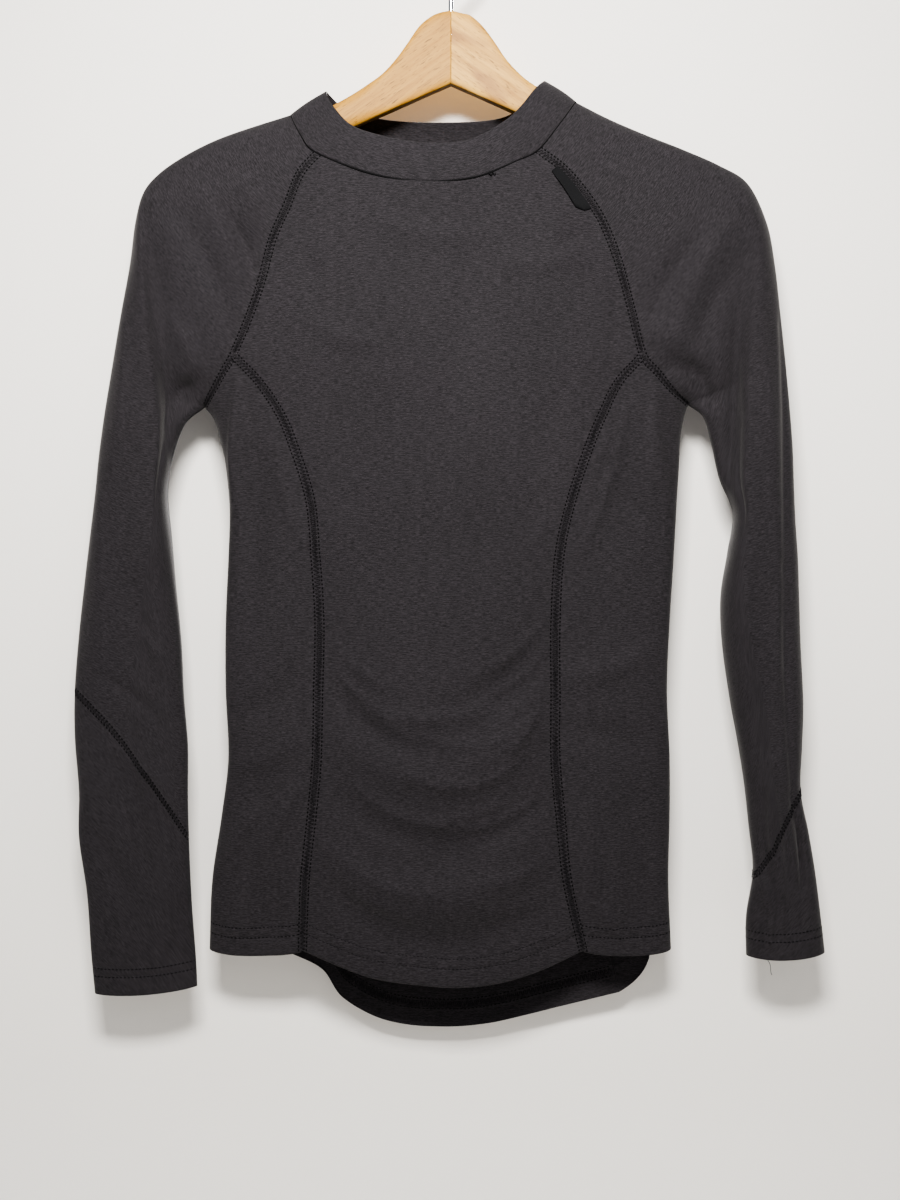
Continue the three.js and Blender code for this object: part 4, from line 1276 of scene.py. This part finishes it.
def strip_normals(strip, towards):
    """Normals of a strip, all on the side that a direction points to."""
    normals = np.cross(np.gradient(strip, axis=0), np.gradient(strip, axis=1))
    normals /= np.maximum(np.linalg.norm(normals, axis=-1, keepdims=True), 1e-9)
    side = np.sign((normals * np.asarray(towards)).sum(axis=-1, keepdims=True))
    return normals * np.where(side == 0, 1, side)


def on_strip(values, places, at, offset):
    """Values of a strip at distances along the seam and offsets across it, in millimetres."""
    row = np.interp(at, places, np.arange(len(places)))
    column = np.clip((offset + STRIP_REACH) / STRIP_STEP, 0, values.shape[1] - 1.001)
    i = np.clip(row.astype(int), 0, len(places) - 2)
    j = column.astype(int)
    f, g = (row - i)[:, None], (column - j)[:, None]
    near = mix(values[i, j], values[i, j + 1], g)
    far = mix(values[i + 1, j], values[i + 1, j + 1], g)
    return mix(near, far, f)


def tube(centres, radii, normals, sides):
    """Rings round a line of centres, each turned to the normal there, or to one for all."""
    normals = np.broadcast_to(normals, centres.shape)
    along = np.gradient(centres, axis=0)
    along /= np.maximum(np.linalg.norm(along, axis=1, keepdims=True), 1e-9)
    across = np.cross(along, normals)
    across /= np.maximum(np.linalg.norm(across, axis=1, keepdims=True), 1e-9)
    up = np.cross(across, along)
    turn = np.arange(sides) * TAU / sides
    ring = across[:, None] * np.cos(turn)[None, :, None] + up[:, None] * np.sin(turn)[None, :, None]
    return centres[:, None] + ring * radii[:, None, None]


# Material slots of a mesh of thread. The second is near-black: needle thread darkened as painted
# shade of its stitch holes, and the painted shadow line at the neckband's foot.
LOOPER, NEEDLE_THREAD_AND_SHADOW = 0, 1


class ThreadWork:
    """Collects tubes of thread, and the painted shadow line where one is added, to be joined in one
    mesh.
    """

    def __init__(self):
        self.vertices, self.faces, self.kinds, self.count = [], [], [], 0
        self.surface = settings().wall / 2

    def add(self, centres, radii, normals, sides, kind):
        """Takes in one tube, mostly of thread and once the painted shadow line at the neckband, which
        runs out to a point at both ends.
        """
        radii = radii.copy()
        radii[[0, -1]] = 0.02
        rings = tube(centres, radii, normals, sides)
        rows = len(centres)
        self.vertices.append(rings.reshape(-1, 3))
        faces = grid_faces(rows, sides, closed_columns=True)
        self.faces.append(faces + self.count)
        self.kinds.append(np.full(len(faces), kind, np.int32))
        self.count += rows * sides

    def needle_row(self, strip, normals, places, offset, pitch, radius=0.66, lift=0.25):
        """A row of stitches: beads of thread that dip into the cloth between holes."""
        at = np.arange(0.5, places[-1] - 0.5, pitch / 6)
        wave = np.abs(np.sin(math.pi * at / pitch))
        offsets = np.full(len(at), float(offset))
        on = on_strip(normals, places, at, offsets)
        line = on_strip(strip, places, at, offsets)
        line = line + on * (self.surface + lift * wave - 0.2)[:, None]
        # The near-black slot paints shade of the stitch holes onto the black thread
        self.add(line, radius * np.clip(1.7 * wave - 0.65, 0.1, 1), on, 4, NEEDLE_THREAD_AND_SHADOW)

    def looper_row(self, strip, normals, places, width, pitch, radius=0.3, lift=0.12):
        """A thread that zigzags between two rows of stitches, on top of the cloth."""
        at = np.arange(0.5, places[-1] - 0.5, pitch / 4)
        phase = (at / pitch) % 1
        offset = width * (4 * np.abs(phase - 0.5) - 1)
        on = on_strip(normals, places, at, offset)
        line = on_strip(strip, places, at, offset) + on * (self.surface + lift)
        self.add(line, np.full(len(at), radius), on, 4, LOOPER)

    def piece(self, name):
        """One mesh of all the tubes. Its needle rows are in a near-black material, darker than its
        loopers, which paints shade of the stitch holes onto the thread; the painted shadow line at
        the neckband shares that material.
        """
        piece = new_piece(
            name, np.concatenate(self.vertices), np.concatenate(self.faces), material("thread")
        )
        piece.data.materials.append(material("needle"))
        kinds = np.concatenate(self.kinds)
        piece.data.polygons.foreach_set("material_index", kinds)
        return piece


def flatlock(work, first, second, towards, width, pitch):
    """Flatlock seam: two rows of needle stitches with loopers crossing between them."""
    strip, places = seam_strip(first, second)
    normals = strip_normals(strip, towards)
    half = width / 2
    for offset in (-half, half):
        work.needle_row(strip, normals, places, offset, pitch)
    reach = half - 0.3
    work.looper_row(strip, normals, places, reach, pitch)
    work.looper_row(strip, normals, places, reach, pitch * 0.97, radius=0.26, lift=0.05)


def coverstitch(work, points, distances, towards, pitch, looper=False, radius=0.5):
    """Rows of stitches at distances from a hem's edge, the grid's first column, with the
    zigzag between them that the same seam shows on the cloth's inner face."""
    for distance in distances:
        strip, places = hem_strip(points, distance)
        normals = strip_normals(strip, towards)
        work.needle_row(strip, normals, places, 0, pitch, radius, 0.2)
    if looper:
        strip, places = hem_strip(points, sum(distances) / 2)
        normals = strip_normals(strip, towards)
        reach = abs(distances[0] - distances[-1]) / 2
        work.looper_row(strip, normals, places, reach, pitch * 1.1)


def beside(surface, rows, last_row, start, end, columns=24):
    """Grid of a surface whose first column is its edge at `start` and which runs to `end`.
    The columns crowd towards the edge."""
    share = np.linspace(0, 1, columns) ** SEAM_CROWDING
    row, column = spread(np.linspace(0, last_row, rows), mix(start, end, share))
    return surface(column, row)


def armhole_grids(side, near):
    """Cloth below and above the stretch of armhole from a body seam to the side edge."""
    turns = np.linspace(near, 1, 60)
    turn, level = spread(turns, np.linspace(0, 3, 30) ** 1.3)
    rows = mix(BODY_SEAM_ROW, UNDERARM_ROW, np.abs(turns - near))
    columns = mix(near, 1, np.linspace(0, 1, 40) ** SEAM_CROWDING * 0.5)
    row, column = spread(rows, columns)
    return side_panel(side, turn, level), sleeve(side, column, row)


class MakeSeams(bpy.types.Operator):
    """Flatlock seams: raglans, shaped body seams, armholes and forearm seams"""

    bl_idname = "base_layer.seams"
    bl_label = "Flatlock seams"

    def execute(self, context):
        size = settings()
        width, pitch = size.flatlock_width, size.stitch_length
        for face, near in (("front", 0), ("back", 2)):
            raglans, shaped = ThreadWork(), ThreadWork()
            towards = FACING[face]
            far = mix(near, 1, 0.4)
            for side, edge, inside in (("left", 0, 0.12), ("right", 1, 0.88)):
                upper = beside(partial(panel, face), 200, BODY_SEAM_ROW, edge, inside)
                arm = beside(partial(sleeve, side), 200, BODY_SEAM_ROW, near, far)
                flatlock(raglans, upper, arm, towards, width, pitch)
                lower = beside(
                    lambda u, level: panel(face, u, level + BODY_SEAM_ROW),
                    400, LAST_LEVEL, edge, inside,
                )
                flank = beside(partial(side_panel, side), 400, LAST_LEVEL, near, far)
                flatlock(shaped, lower, flank, towards, width + 0.8, pitch)
                under, above = armhole_grids(side, near)
                flatlock(raglans, under, above, towards, width - 0.6, pitch)
            raglans.piece(f"raglan_seams_{face}")
            shaped.piece(f"shaped_seams_{face}")
        for side in ("left", "right"):
            work = ThreadWork()
            for face, turns in (("front", (0.03, 0.97)), ("back", (1.97, 1.03))):
                turn, share = spread(np.linspace(*turns, 160), np.linspace(0, 0.25, 24) ** 1.3)
                below = forearm(side, turn, share)
                above = lower_sleeve(side, turn, 1 - share)
                flatlock(work, below, above, FACING[face], width - 1, pitch)
            work.piece(f"forearm_seam_{side}")
        return {"FINISHED"}


# Painted shadow line under the neckband's proud edge: the radius of its near-black tube, and how far
# it stands out from the band's foot
NECK_SHADOW_LINE_RADIUS = 0.75
NECK_SHADOW_LINE_LIFT = 0.55


class MakeHems(bpy.types.Operator):
    """Coverstitched hems and cuffs, and a painted shadow line: a near-black tube round the foot of
    the neckband
    """

    bl_idname = "base_layer.hems"
    bl_label = "Hem stitching"

    def execute(self, context):
        pitch = settings().stitch_length
        hems = ThreadWork()
        levels = LAST_LEVEL - np.linspace(0, 1, 60) ** 1.2
        u = np.linspace(0.005, 0.995, 260)
        for face, radius in (("front", 0.3), ("back", 0.5)):
            edge = panel(face, *spread(u, levels + BODY_SEAM_ROW))
            coverstitch(hems, edge, HEM_ROWS, FACING[face], pitch, radius=radius)
            if face == "back":
                coverstitch(hems, edge, HEM_ROWS, FACING["front"], pitch, looper=True)
        # Painted shadow: a near-black tube round the foot of the neckband, in the needle thread's
        # slot, stands for the shadow line that the band's edge casts
        ring = np.linspace(0, BAND_ROWS, 500)
        foot = neckband(ring, np.ones(500))
        outward = band_outward(foot)
        thickness = np.full(500, NECK_SHADOW_LINE_RADIUS)
        hems.add(foot + NECK_SHADOW_LINE_LIFT * outward, thickness, outward, 5, NEEDLE_THREAD_AND_SHADOW)
        for side in ("left", "right"):
            for face, turns in (("front", (0.02, 0.97)), ("back", (1.98, 1.03))):
                edge = side_panel(side, *spread(np.linspace(*turns, 160), levels))
                coverstitch(hems, edge, HEM_ROWS, FACING[face], pitch)
        hems.piece("hem_stitching_and_neck_shadow")
        cuffs = ThreadWork()
        for side in ("left", "right"):
            for face, turns in (("front", (0.02, 0.98)), ("back", (1.98, 1.02))):
                turn, share = spread(np.linspace(*turns, 140), 1 - np.linspace(0, 0.6, 60))
                coverstitch(cuffs, forearm(side, turn, share), CUFF_ROWS, FACING[face], pitch)
        cuffs.piece("cuff_stitching")
        return {"FINISHED"}


# Hanger

BEECH = {
    "left": {
        "pale": (0.430, 0.225, 0.040), "dark": (0.300, 0.140, 0.018),
        "slope": 0.62, "streak": (0.44, 0.24, 0.05), "streak_share": 0.25,
    },
    "right": {
        "pale": (0.58, 0.335, 0.085), "dark": (0.38, 0.195, 0.038),
        "slope": -0.62, "streak": (0.20, 0.08, 0.025), "streak_share": 0.9,
    },
}
FLECK_SHARE = 0.95


def wood_material(name, pale, dark, slope, streak, streak_share):
    """Planed beech: long uneven grain along the arm, short dark flecks across the rays, and
    one broader streak. The grain runs on Object coordinates turned to the arm's slope."""
    finish, tree, surface = shader(name, pale, 0.5, 0.2)
    n = Nodes(tree)
    turned = n.add("ShaderNodeMapping")
    turned.inputs["Rotation"].default_value = (0, slope, 0)
    n.link(n.place, turned.inputs["Vector"])
    along = turned.outputs["Vector"]
    grain = n.noise(n.scaled((18, 240, 300), along), 1, 4, 0.6, 0.4)
    pores = n.noise(n.scaled((150, 1500, 1500), along), 1, 2, 0.5)
    cloud = n.noise(n.scaled((22, 22, 40), along), 1, 2, 0.5)
    middle = tuple((a + b) / 2 for a, b in zip(pale, dark))
    tone = n.ramp(grain, ((0.32, dark), (0.47, middle), (0.68, pale)))
    ticks = n.ramp(pores, ((0.60, 0.0), (0.70, 1.0)))
    fleck = tuple(0.42 * c for c in dark)
    tone = n.blend(n.maths("MULTIPLY", ticks, FLECK_SHARE), tone, fleck)
    patch = n.ramp(cloud, ((0.50, 0.0), (0.68, 1.0)))
    tone = n.blend(n.maths("MULTIPLY", patch, streak_share), tone, streak)
    n.link(tone, surface.inputs["Base Color"])
    n.link(n.bump(pores, 0.35, 0.0002, n.bump(grain, 0.3, 0.0003)), surface.inputs["Normal"])
    return finish


def chrome_material():
    """Bright plated wire with faint drawing marks."""
    finish, tree, surface = shader("bright_wire", (0.72, 0.73, 0.74), 0.18, 0.5, 1.0)
    n = Nodes(tree)
    marks = n.noise(n.scaled((1800, 1800, 120)), 1, 2)
    n.link(n.ramp(marks, ((0.3, 0.14), (0.7, 0.26))), surface.inputs["Roughness"])
    n.link(n.bump(marks, 0.12, 0.00005), surface.inputs["Normal"])
    return finish


def hanger_arm(side):
    """Arm of the hanger: rounded-square sections, tall and flat, carried out from the middle
    along a table of top and bottom edges, and closed by a short rounded end."""
    sign = -1 if side == "left" else 1
    place = np.linspace(0, len(HANGER["reach"]) - 1, ARM_STATIONS)
    reach = spline(HANGER["reach"], place) - MITRE_TRIM
    top = spline(HANGER[side + "_top"], place)
    bottom = spline(HANGER["bottom"], place)
    forward = spline(HANGER["forward"], place)
    turn = np.arange(ARM_SIDES) * TAU / ARM_SIDES
    cosine, sine = np.cos(turn), np.sin(turn)
    roundness = mix(CREST_ROUNDNESS, ARM_ROUNDNESS, smooth(reach, 45, 75))[:, None]
    broad = np.sign(cosine) * np.abs(cosine) ** roundness
    tall = np.sign(sine) * np.abs(sine) ** roundness
    middle, half = (top + bottom) / 2, (top - bottom) / 2
    ending = smooth(reach, 190, 206.5)
    close = np.sqrt(np.clip(1 - ending**3, 0.02, 1))
    y = forward[:, None] + (ARM_HALF_THICKNESS * close)[:, None] * broad
    z = middle[:, None] + (half * close)[:, None] * tall
    return join(sign * reach[:, None], y, z)


def hook_line():
    """Middle of the hook's wire: a straight stem, a bend to one side, and an open loop whose
    inside top is the origin."""
    radius = HOOK_INNER_RADIUS + HOOK_WIRE_RADIUS
    turn = np.radians(np.linspace(*HOOK_LOOP_DEGREES, 120))
    loop = join(radius * np.cos(turn), 0, radius * np.sin(turn) - HOOK_INNER_RADIUS)
    stem = join(0, 0, np.linspace(*HOOK_STEM_HEIGHTS, 30))
    share = np.linspace(0, 1, 26)[1:-1, None]
    start, knee, end = stem[-1], np.array(HOOK_KNEE), loop[0]
    bend = (1 - share) ** 2 * start + 2 * share * (1 - share) * knee + share**2 * end
    return np.concatenate((stem, bend, loop))


class MakeHanger(bpy.types.Operator):
    """Contoured wooden hanger in two halves with a glued mitre, and its bright wire hook"""

    bl_idname = "base_layer.hanger"
    bl_label = "Hanger"

    def execute(self, context):
        for side in ("left", "right"):
            vertices, faces = closed_tube(hanger_arm(side))
            if side == "right":
                faces = faces[:, ::-1]
            wood = material("beech_" + side)
            piece = new_piece(f"hanger_arm_{side}", vertices, faces, wood)
            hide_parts("hanger_" + side)

        line = hook_line()
        radii = np.full(len(line), HOOK_WIRE_RADIUS - 0.05)
        radii[-4:] *= np.sqrt(1 - np.linspace(0.2, 0.98, 4) ** 2)
        vertices, faces = closed_tube(tube(line, radii, FACING["back"], HOOK_SIDES))
        hook = new_piece("hanger_hook", vertices, faces, material("chrome"))
        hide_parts("hook")
        return {"FINISHED"}


# Trim

TAB = {"top": 0.86, "bottom": 2.62, "seam_edge": 0.987, "free_edge": 0.930, "slant": 0.1}
TAB_WALL = 0.75
TAB_LIFT = 1.15
TAB_GRID = (60, 24)
TACK_PLACE = (27.5, -33.5, -192.2)
LOOSE_THREAD_PLACE = (233, -13, -768)


def tab_surface(across, along):
    """Folded tape on the front panel at the raglan seam: a patch of the panel, slanting and
    rounded off at its lower free corner, lifted more towards its folded free edge."""
    corner = 0.22 * np.clip(across - 0.55, 0, 1) * smooth(along, 0.75, 1)
    row = mix(TAB["top"], TAB["bottom"], along * (1 - corner))
    row = row + TAB["slant"] * across * (1 - along)
    narrow = 1 - 0.1 * (1 - smooth(along, 0, 0.2))
    u = mix(TAB["seam_edge"], TAB["free_edge"], across * narrow)
    point = panel("front", u, row)
    point[..., 1] -= TAB_LIFT + 0.9 * np.sin(math.pi * along) * across + 0.5 * across
    return point


def rounded_slab(surface, rows, columns, half_thickness):
    """Closed slab round a surface: its edge is a half circle, so the thickness follows the
    square root of the distance to the rim."""
    turn = np.arange(2 * columns) * TAU / (2 * columns)
    across = 0.5 - 0.5 * np.cos(turn)
    down = 0.5 - 0.5 * np.cos(np.linspace(0, math.pi, rows))
    along = down[:, None] * np.ones(2 * columns)
    point = surface(across * np.ones((rows, 1)), along)
    rim = np.clip(8 * np.minimum(along, 1 - along), 0.0, 1)
    thick = np.sqrt(np.clip(1 - (1 - rim) ** 2, 0, 1)) * half_thickness
    side = np.clip(3.5 * np.abs(np.sin(turn)), 0, 1) * np.sign(np.sin(turn))
    point[..., 1] += thick * np.where(np.abs(side) < 1e-6, 0, side)
    return point


class MakeTrim(bpy.types.Operator):
    """Bare folded tape tab in the raglan seam, thread tack and loose thread"""

    bl_idname = "base_layer.trim"
    bl_label = "Tab and threads"

    def execute(self, context):
        vertices, faces = closed_tube(rounded_slab(tab_surface, *TAB_GRID, TAB_WALL))
        uvs = np.concatenate((vertices[:, :1], vertices[:, 2:]), axis=1) * MM
        tab = new_piece("tape_tab", vertices, faces, material("tape"), uvs)
        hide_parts("seam_tab")

        work = ThreadWork()
        x, y, z = TACK_PLACE
        run = np.linspace(0, 1, 40)
        knot = join(
            x + 5 * run, y - 0.7 * np.abs(np.sin(9 * run)), z + 1.1 * run + 0.8 * np.sin(13 * run)
        )
        work.add(knot, np.full(len(run), 0.32), FACING["front"], 5, NEEDLE_THREAD_AND_SHADOW)
        x, y, z = LOOSE_THREAD_PLACE
        run = np.linspace(0, 1, 50)
        loose = join(
            x + 6.5 * run + 1.2 * np.sin(5 * run), y - 1.5 * np.sin(3 * run), z - 13.5 * run
        )
        work.add(loose, np.full(len(run), 0.2), FACING["front"], 5, NEEDLE_THREAD_AND_SHADOW)
        work.piece("thread_ends")
        return {"FINISHED"}


# Stage, in metres

WALL_Y, WALL_TOP, WALL_HALF_WIDTH = 0.040, 1.6, 2.5
FLOOR_Z, FLOOR_FRONT = -1.12, -3.0
COVE_RADIUS = 0.25
CAMERA_PLACE = (-0.00075, -1.3, -0.503)
CAMERA_LENS = 52


def smooth_wall(name, profile, half_width, finish):
    """A backdrop: a profile of (y, z) points in metres, drawn out along X."""
    profile = np.array(profile)
    rows = len(profile)
    points = join(np.array([-half_width, half_width]), profile[:, :1], profile[:, 1:])
    mesh = bpy.data.meshes.new(name)
    fill_mesh(mesh, points.reshape(-1, 3), grid_faces(rows, 2))
    mesh.materials.append(finish)
    wall = bpy.data.objects.new(name, mesh)
    wall.visible_shadow = False
    wall.visible_glossy = False
    bpy.context.scene.collection.objects.link(wall)
    return wall


def paint_material():
    """Matt off-white wall paint with a faint roller texture. The wall's faces point away from
    the room, so the paint is on their back, and seen from outside the room it is clear."""
    finish, tree, surface = shader("wall_paint", (0.84, 0.812, 0.77), 0.9, 0.2)
    n = Nodes(tree)
    side = n.add("ShaderNodeNewGeometry").outputs["Backfacing"]
    clear = n.add("ShaderNodeBsdfTransparent")
    either = n.add("ShaderNodeMixShader")
    n.link(side, either.inputs[0])
    n.link(clear.outputs["BSDF"], either.inputs[1])
    n.link(surface.outputs["BSDF"], either.inputs[2])
    output = next(node for node in tree.nodes if node.type == "OUTPUT_MATERIAL")
    n.link(either.outputs["Shader"], output.inputs["Surface"])
    n.link(n.bump(n.noise(n.scaled((350, 350, 350)), 1, 3), 0.12, 0.0004), surface.inputs["Normal"])
    return finish


def add_light(name, size, energy, place, target, colour=(1, 1, 1)):
    """A rectangular light of a width and height in metres, turned to a target."""
    data = bpy.data.lights.new(name, "AREA")
    data.shape = "RECTANGLE"
    data.size, data.size_y = size
    data.energy = energy
    data.color = colour
    light = bpy.data.objects.new(name, data)
    light.location = place
    light.rotation_euler = (Vector(target) - Vector(place)).to_track_quat("-Z", "Y").to_euler()
    bpy.context.scene.collection.objects.link(light)
    return data


class MakeStage(bpy.types.Operator):
    """Pale wall and floor, soft lights and the camera"""

    bl_idname = "base_layer.stage"
    bl_label = "Stage"

    def execute(self, context):
        cove_top = FLOOR_Z + COVE_RADIUS
        profile = [(WALL_Y, WALL_TOP), (WALL_Y, cove_top)]
        for turn in np.linspace(0, math.pi / 2, 16)[1:]:
            profile.append((
                WALL_Y - COVE_RADIUS * (1 - math.cos(turn)), cove_top - COVE_RADIUS * math.sin(turn)
            ))
        profile.append((FLOOR_FRONT, FLOOR_Z))
        smooth_wall("backdrop", profile, WALL_HALF_WIDTH, paint_material())

        key = add_light("Key", (0.4, 0.22), 15, (-0.06, -1.15, 0.22), (0, 0, -0.24), (1, 0.985, 0.96))
        key.spread = math.radians(108)
        add_light("Fill", (0.9, 0.7), 2, (0.5, -2.0, -0.1), (0, 0, -0.48))
        add_light("Behind", (0.6, 0.5), 75, (0.3, 1.7, 0.5), (0, 0, -0.3))
        world = context.scene.world or bpy.data.worlds.new("World")
        context.scene.world = world
        world.use_nodes = True
        sky = world.node_tree.nodes["Background"]
        sky.inputs["Color"].default_value = (0.95, 0.97, 1.0, 1)
        sky.inputs["Strength"].default_value = 0.35

        context.scene.view_settings.look = "AgX - Medium High Contrast"

        camera_data = bpy.data.cameras.new("Camera")
        camera_data.lens = CAMERA_LENS
        camera_data.sensor_width = 36
        camera_data.clip_start = 0.01
        camera = bpy.data.objects.new("Camera", camera_data)
        camera.location = CAMERA_PLACE
        camera.rotation_euler = (math.pi / 2, 0, 0)
        context.scene.collection.objects.link(camera)
        context.scene.camera = camera
        return {"FINISHED"}


OPERATORS = (
    MakePanels, MakeSides, MakeSleeves, MakeNeckband, MakeSeams, MakeHems,
    MakeTrim, MakeHanger, MakeStage,
)


class GarmentPanel(bpy.types.Panel):
    """Settings of the top and the steps that make it, in order"""

    bl_idname = "VIEW3D_PT_base_layer_top"
    bl_label = "Base layer top"
    bl_space_type = "VIEW_3D"
    bl_region_type = "UI"
    bl_category = "Base Layer"

    def draw(self, context):
        for name in GarmentSettings.__annotations__:
            self.layout.prop(context.scene.base_layer_top, name)
        for operator in OPERATORS:
            self.layout.operator(operator.bl_idname)


CLASSES = (GarmentSettings, *OPERATORS, GarmentPanel)


def register():
    """Registers the classes and hangs the settings on the scene."""
    for item in CLASSES:
        bpy.utils.register_class(item)
    bpy.types.Scene.base_layer_top = bpy.props.PointerProperty(type=GarmentSettings)


def unregister():
    """Takes the settings and the classes away again."""
    del bpy.types.Scene.base_layer_top
    for item in reversed(CLASSES):
        bpy.utils.unregister_class(item)


def main():
    """Builds the top by its operators, in order."""
    register()
    for operator in OPERATORS:
        group, name = operator.bl_idname.split(".")
        getattr(getattr(bpy.ops, group), name)()


if __name__ == "__main__":
    main()
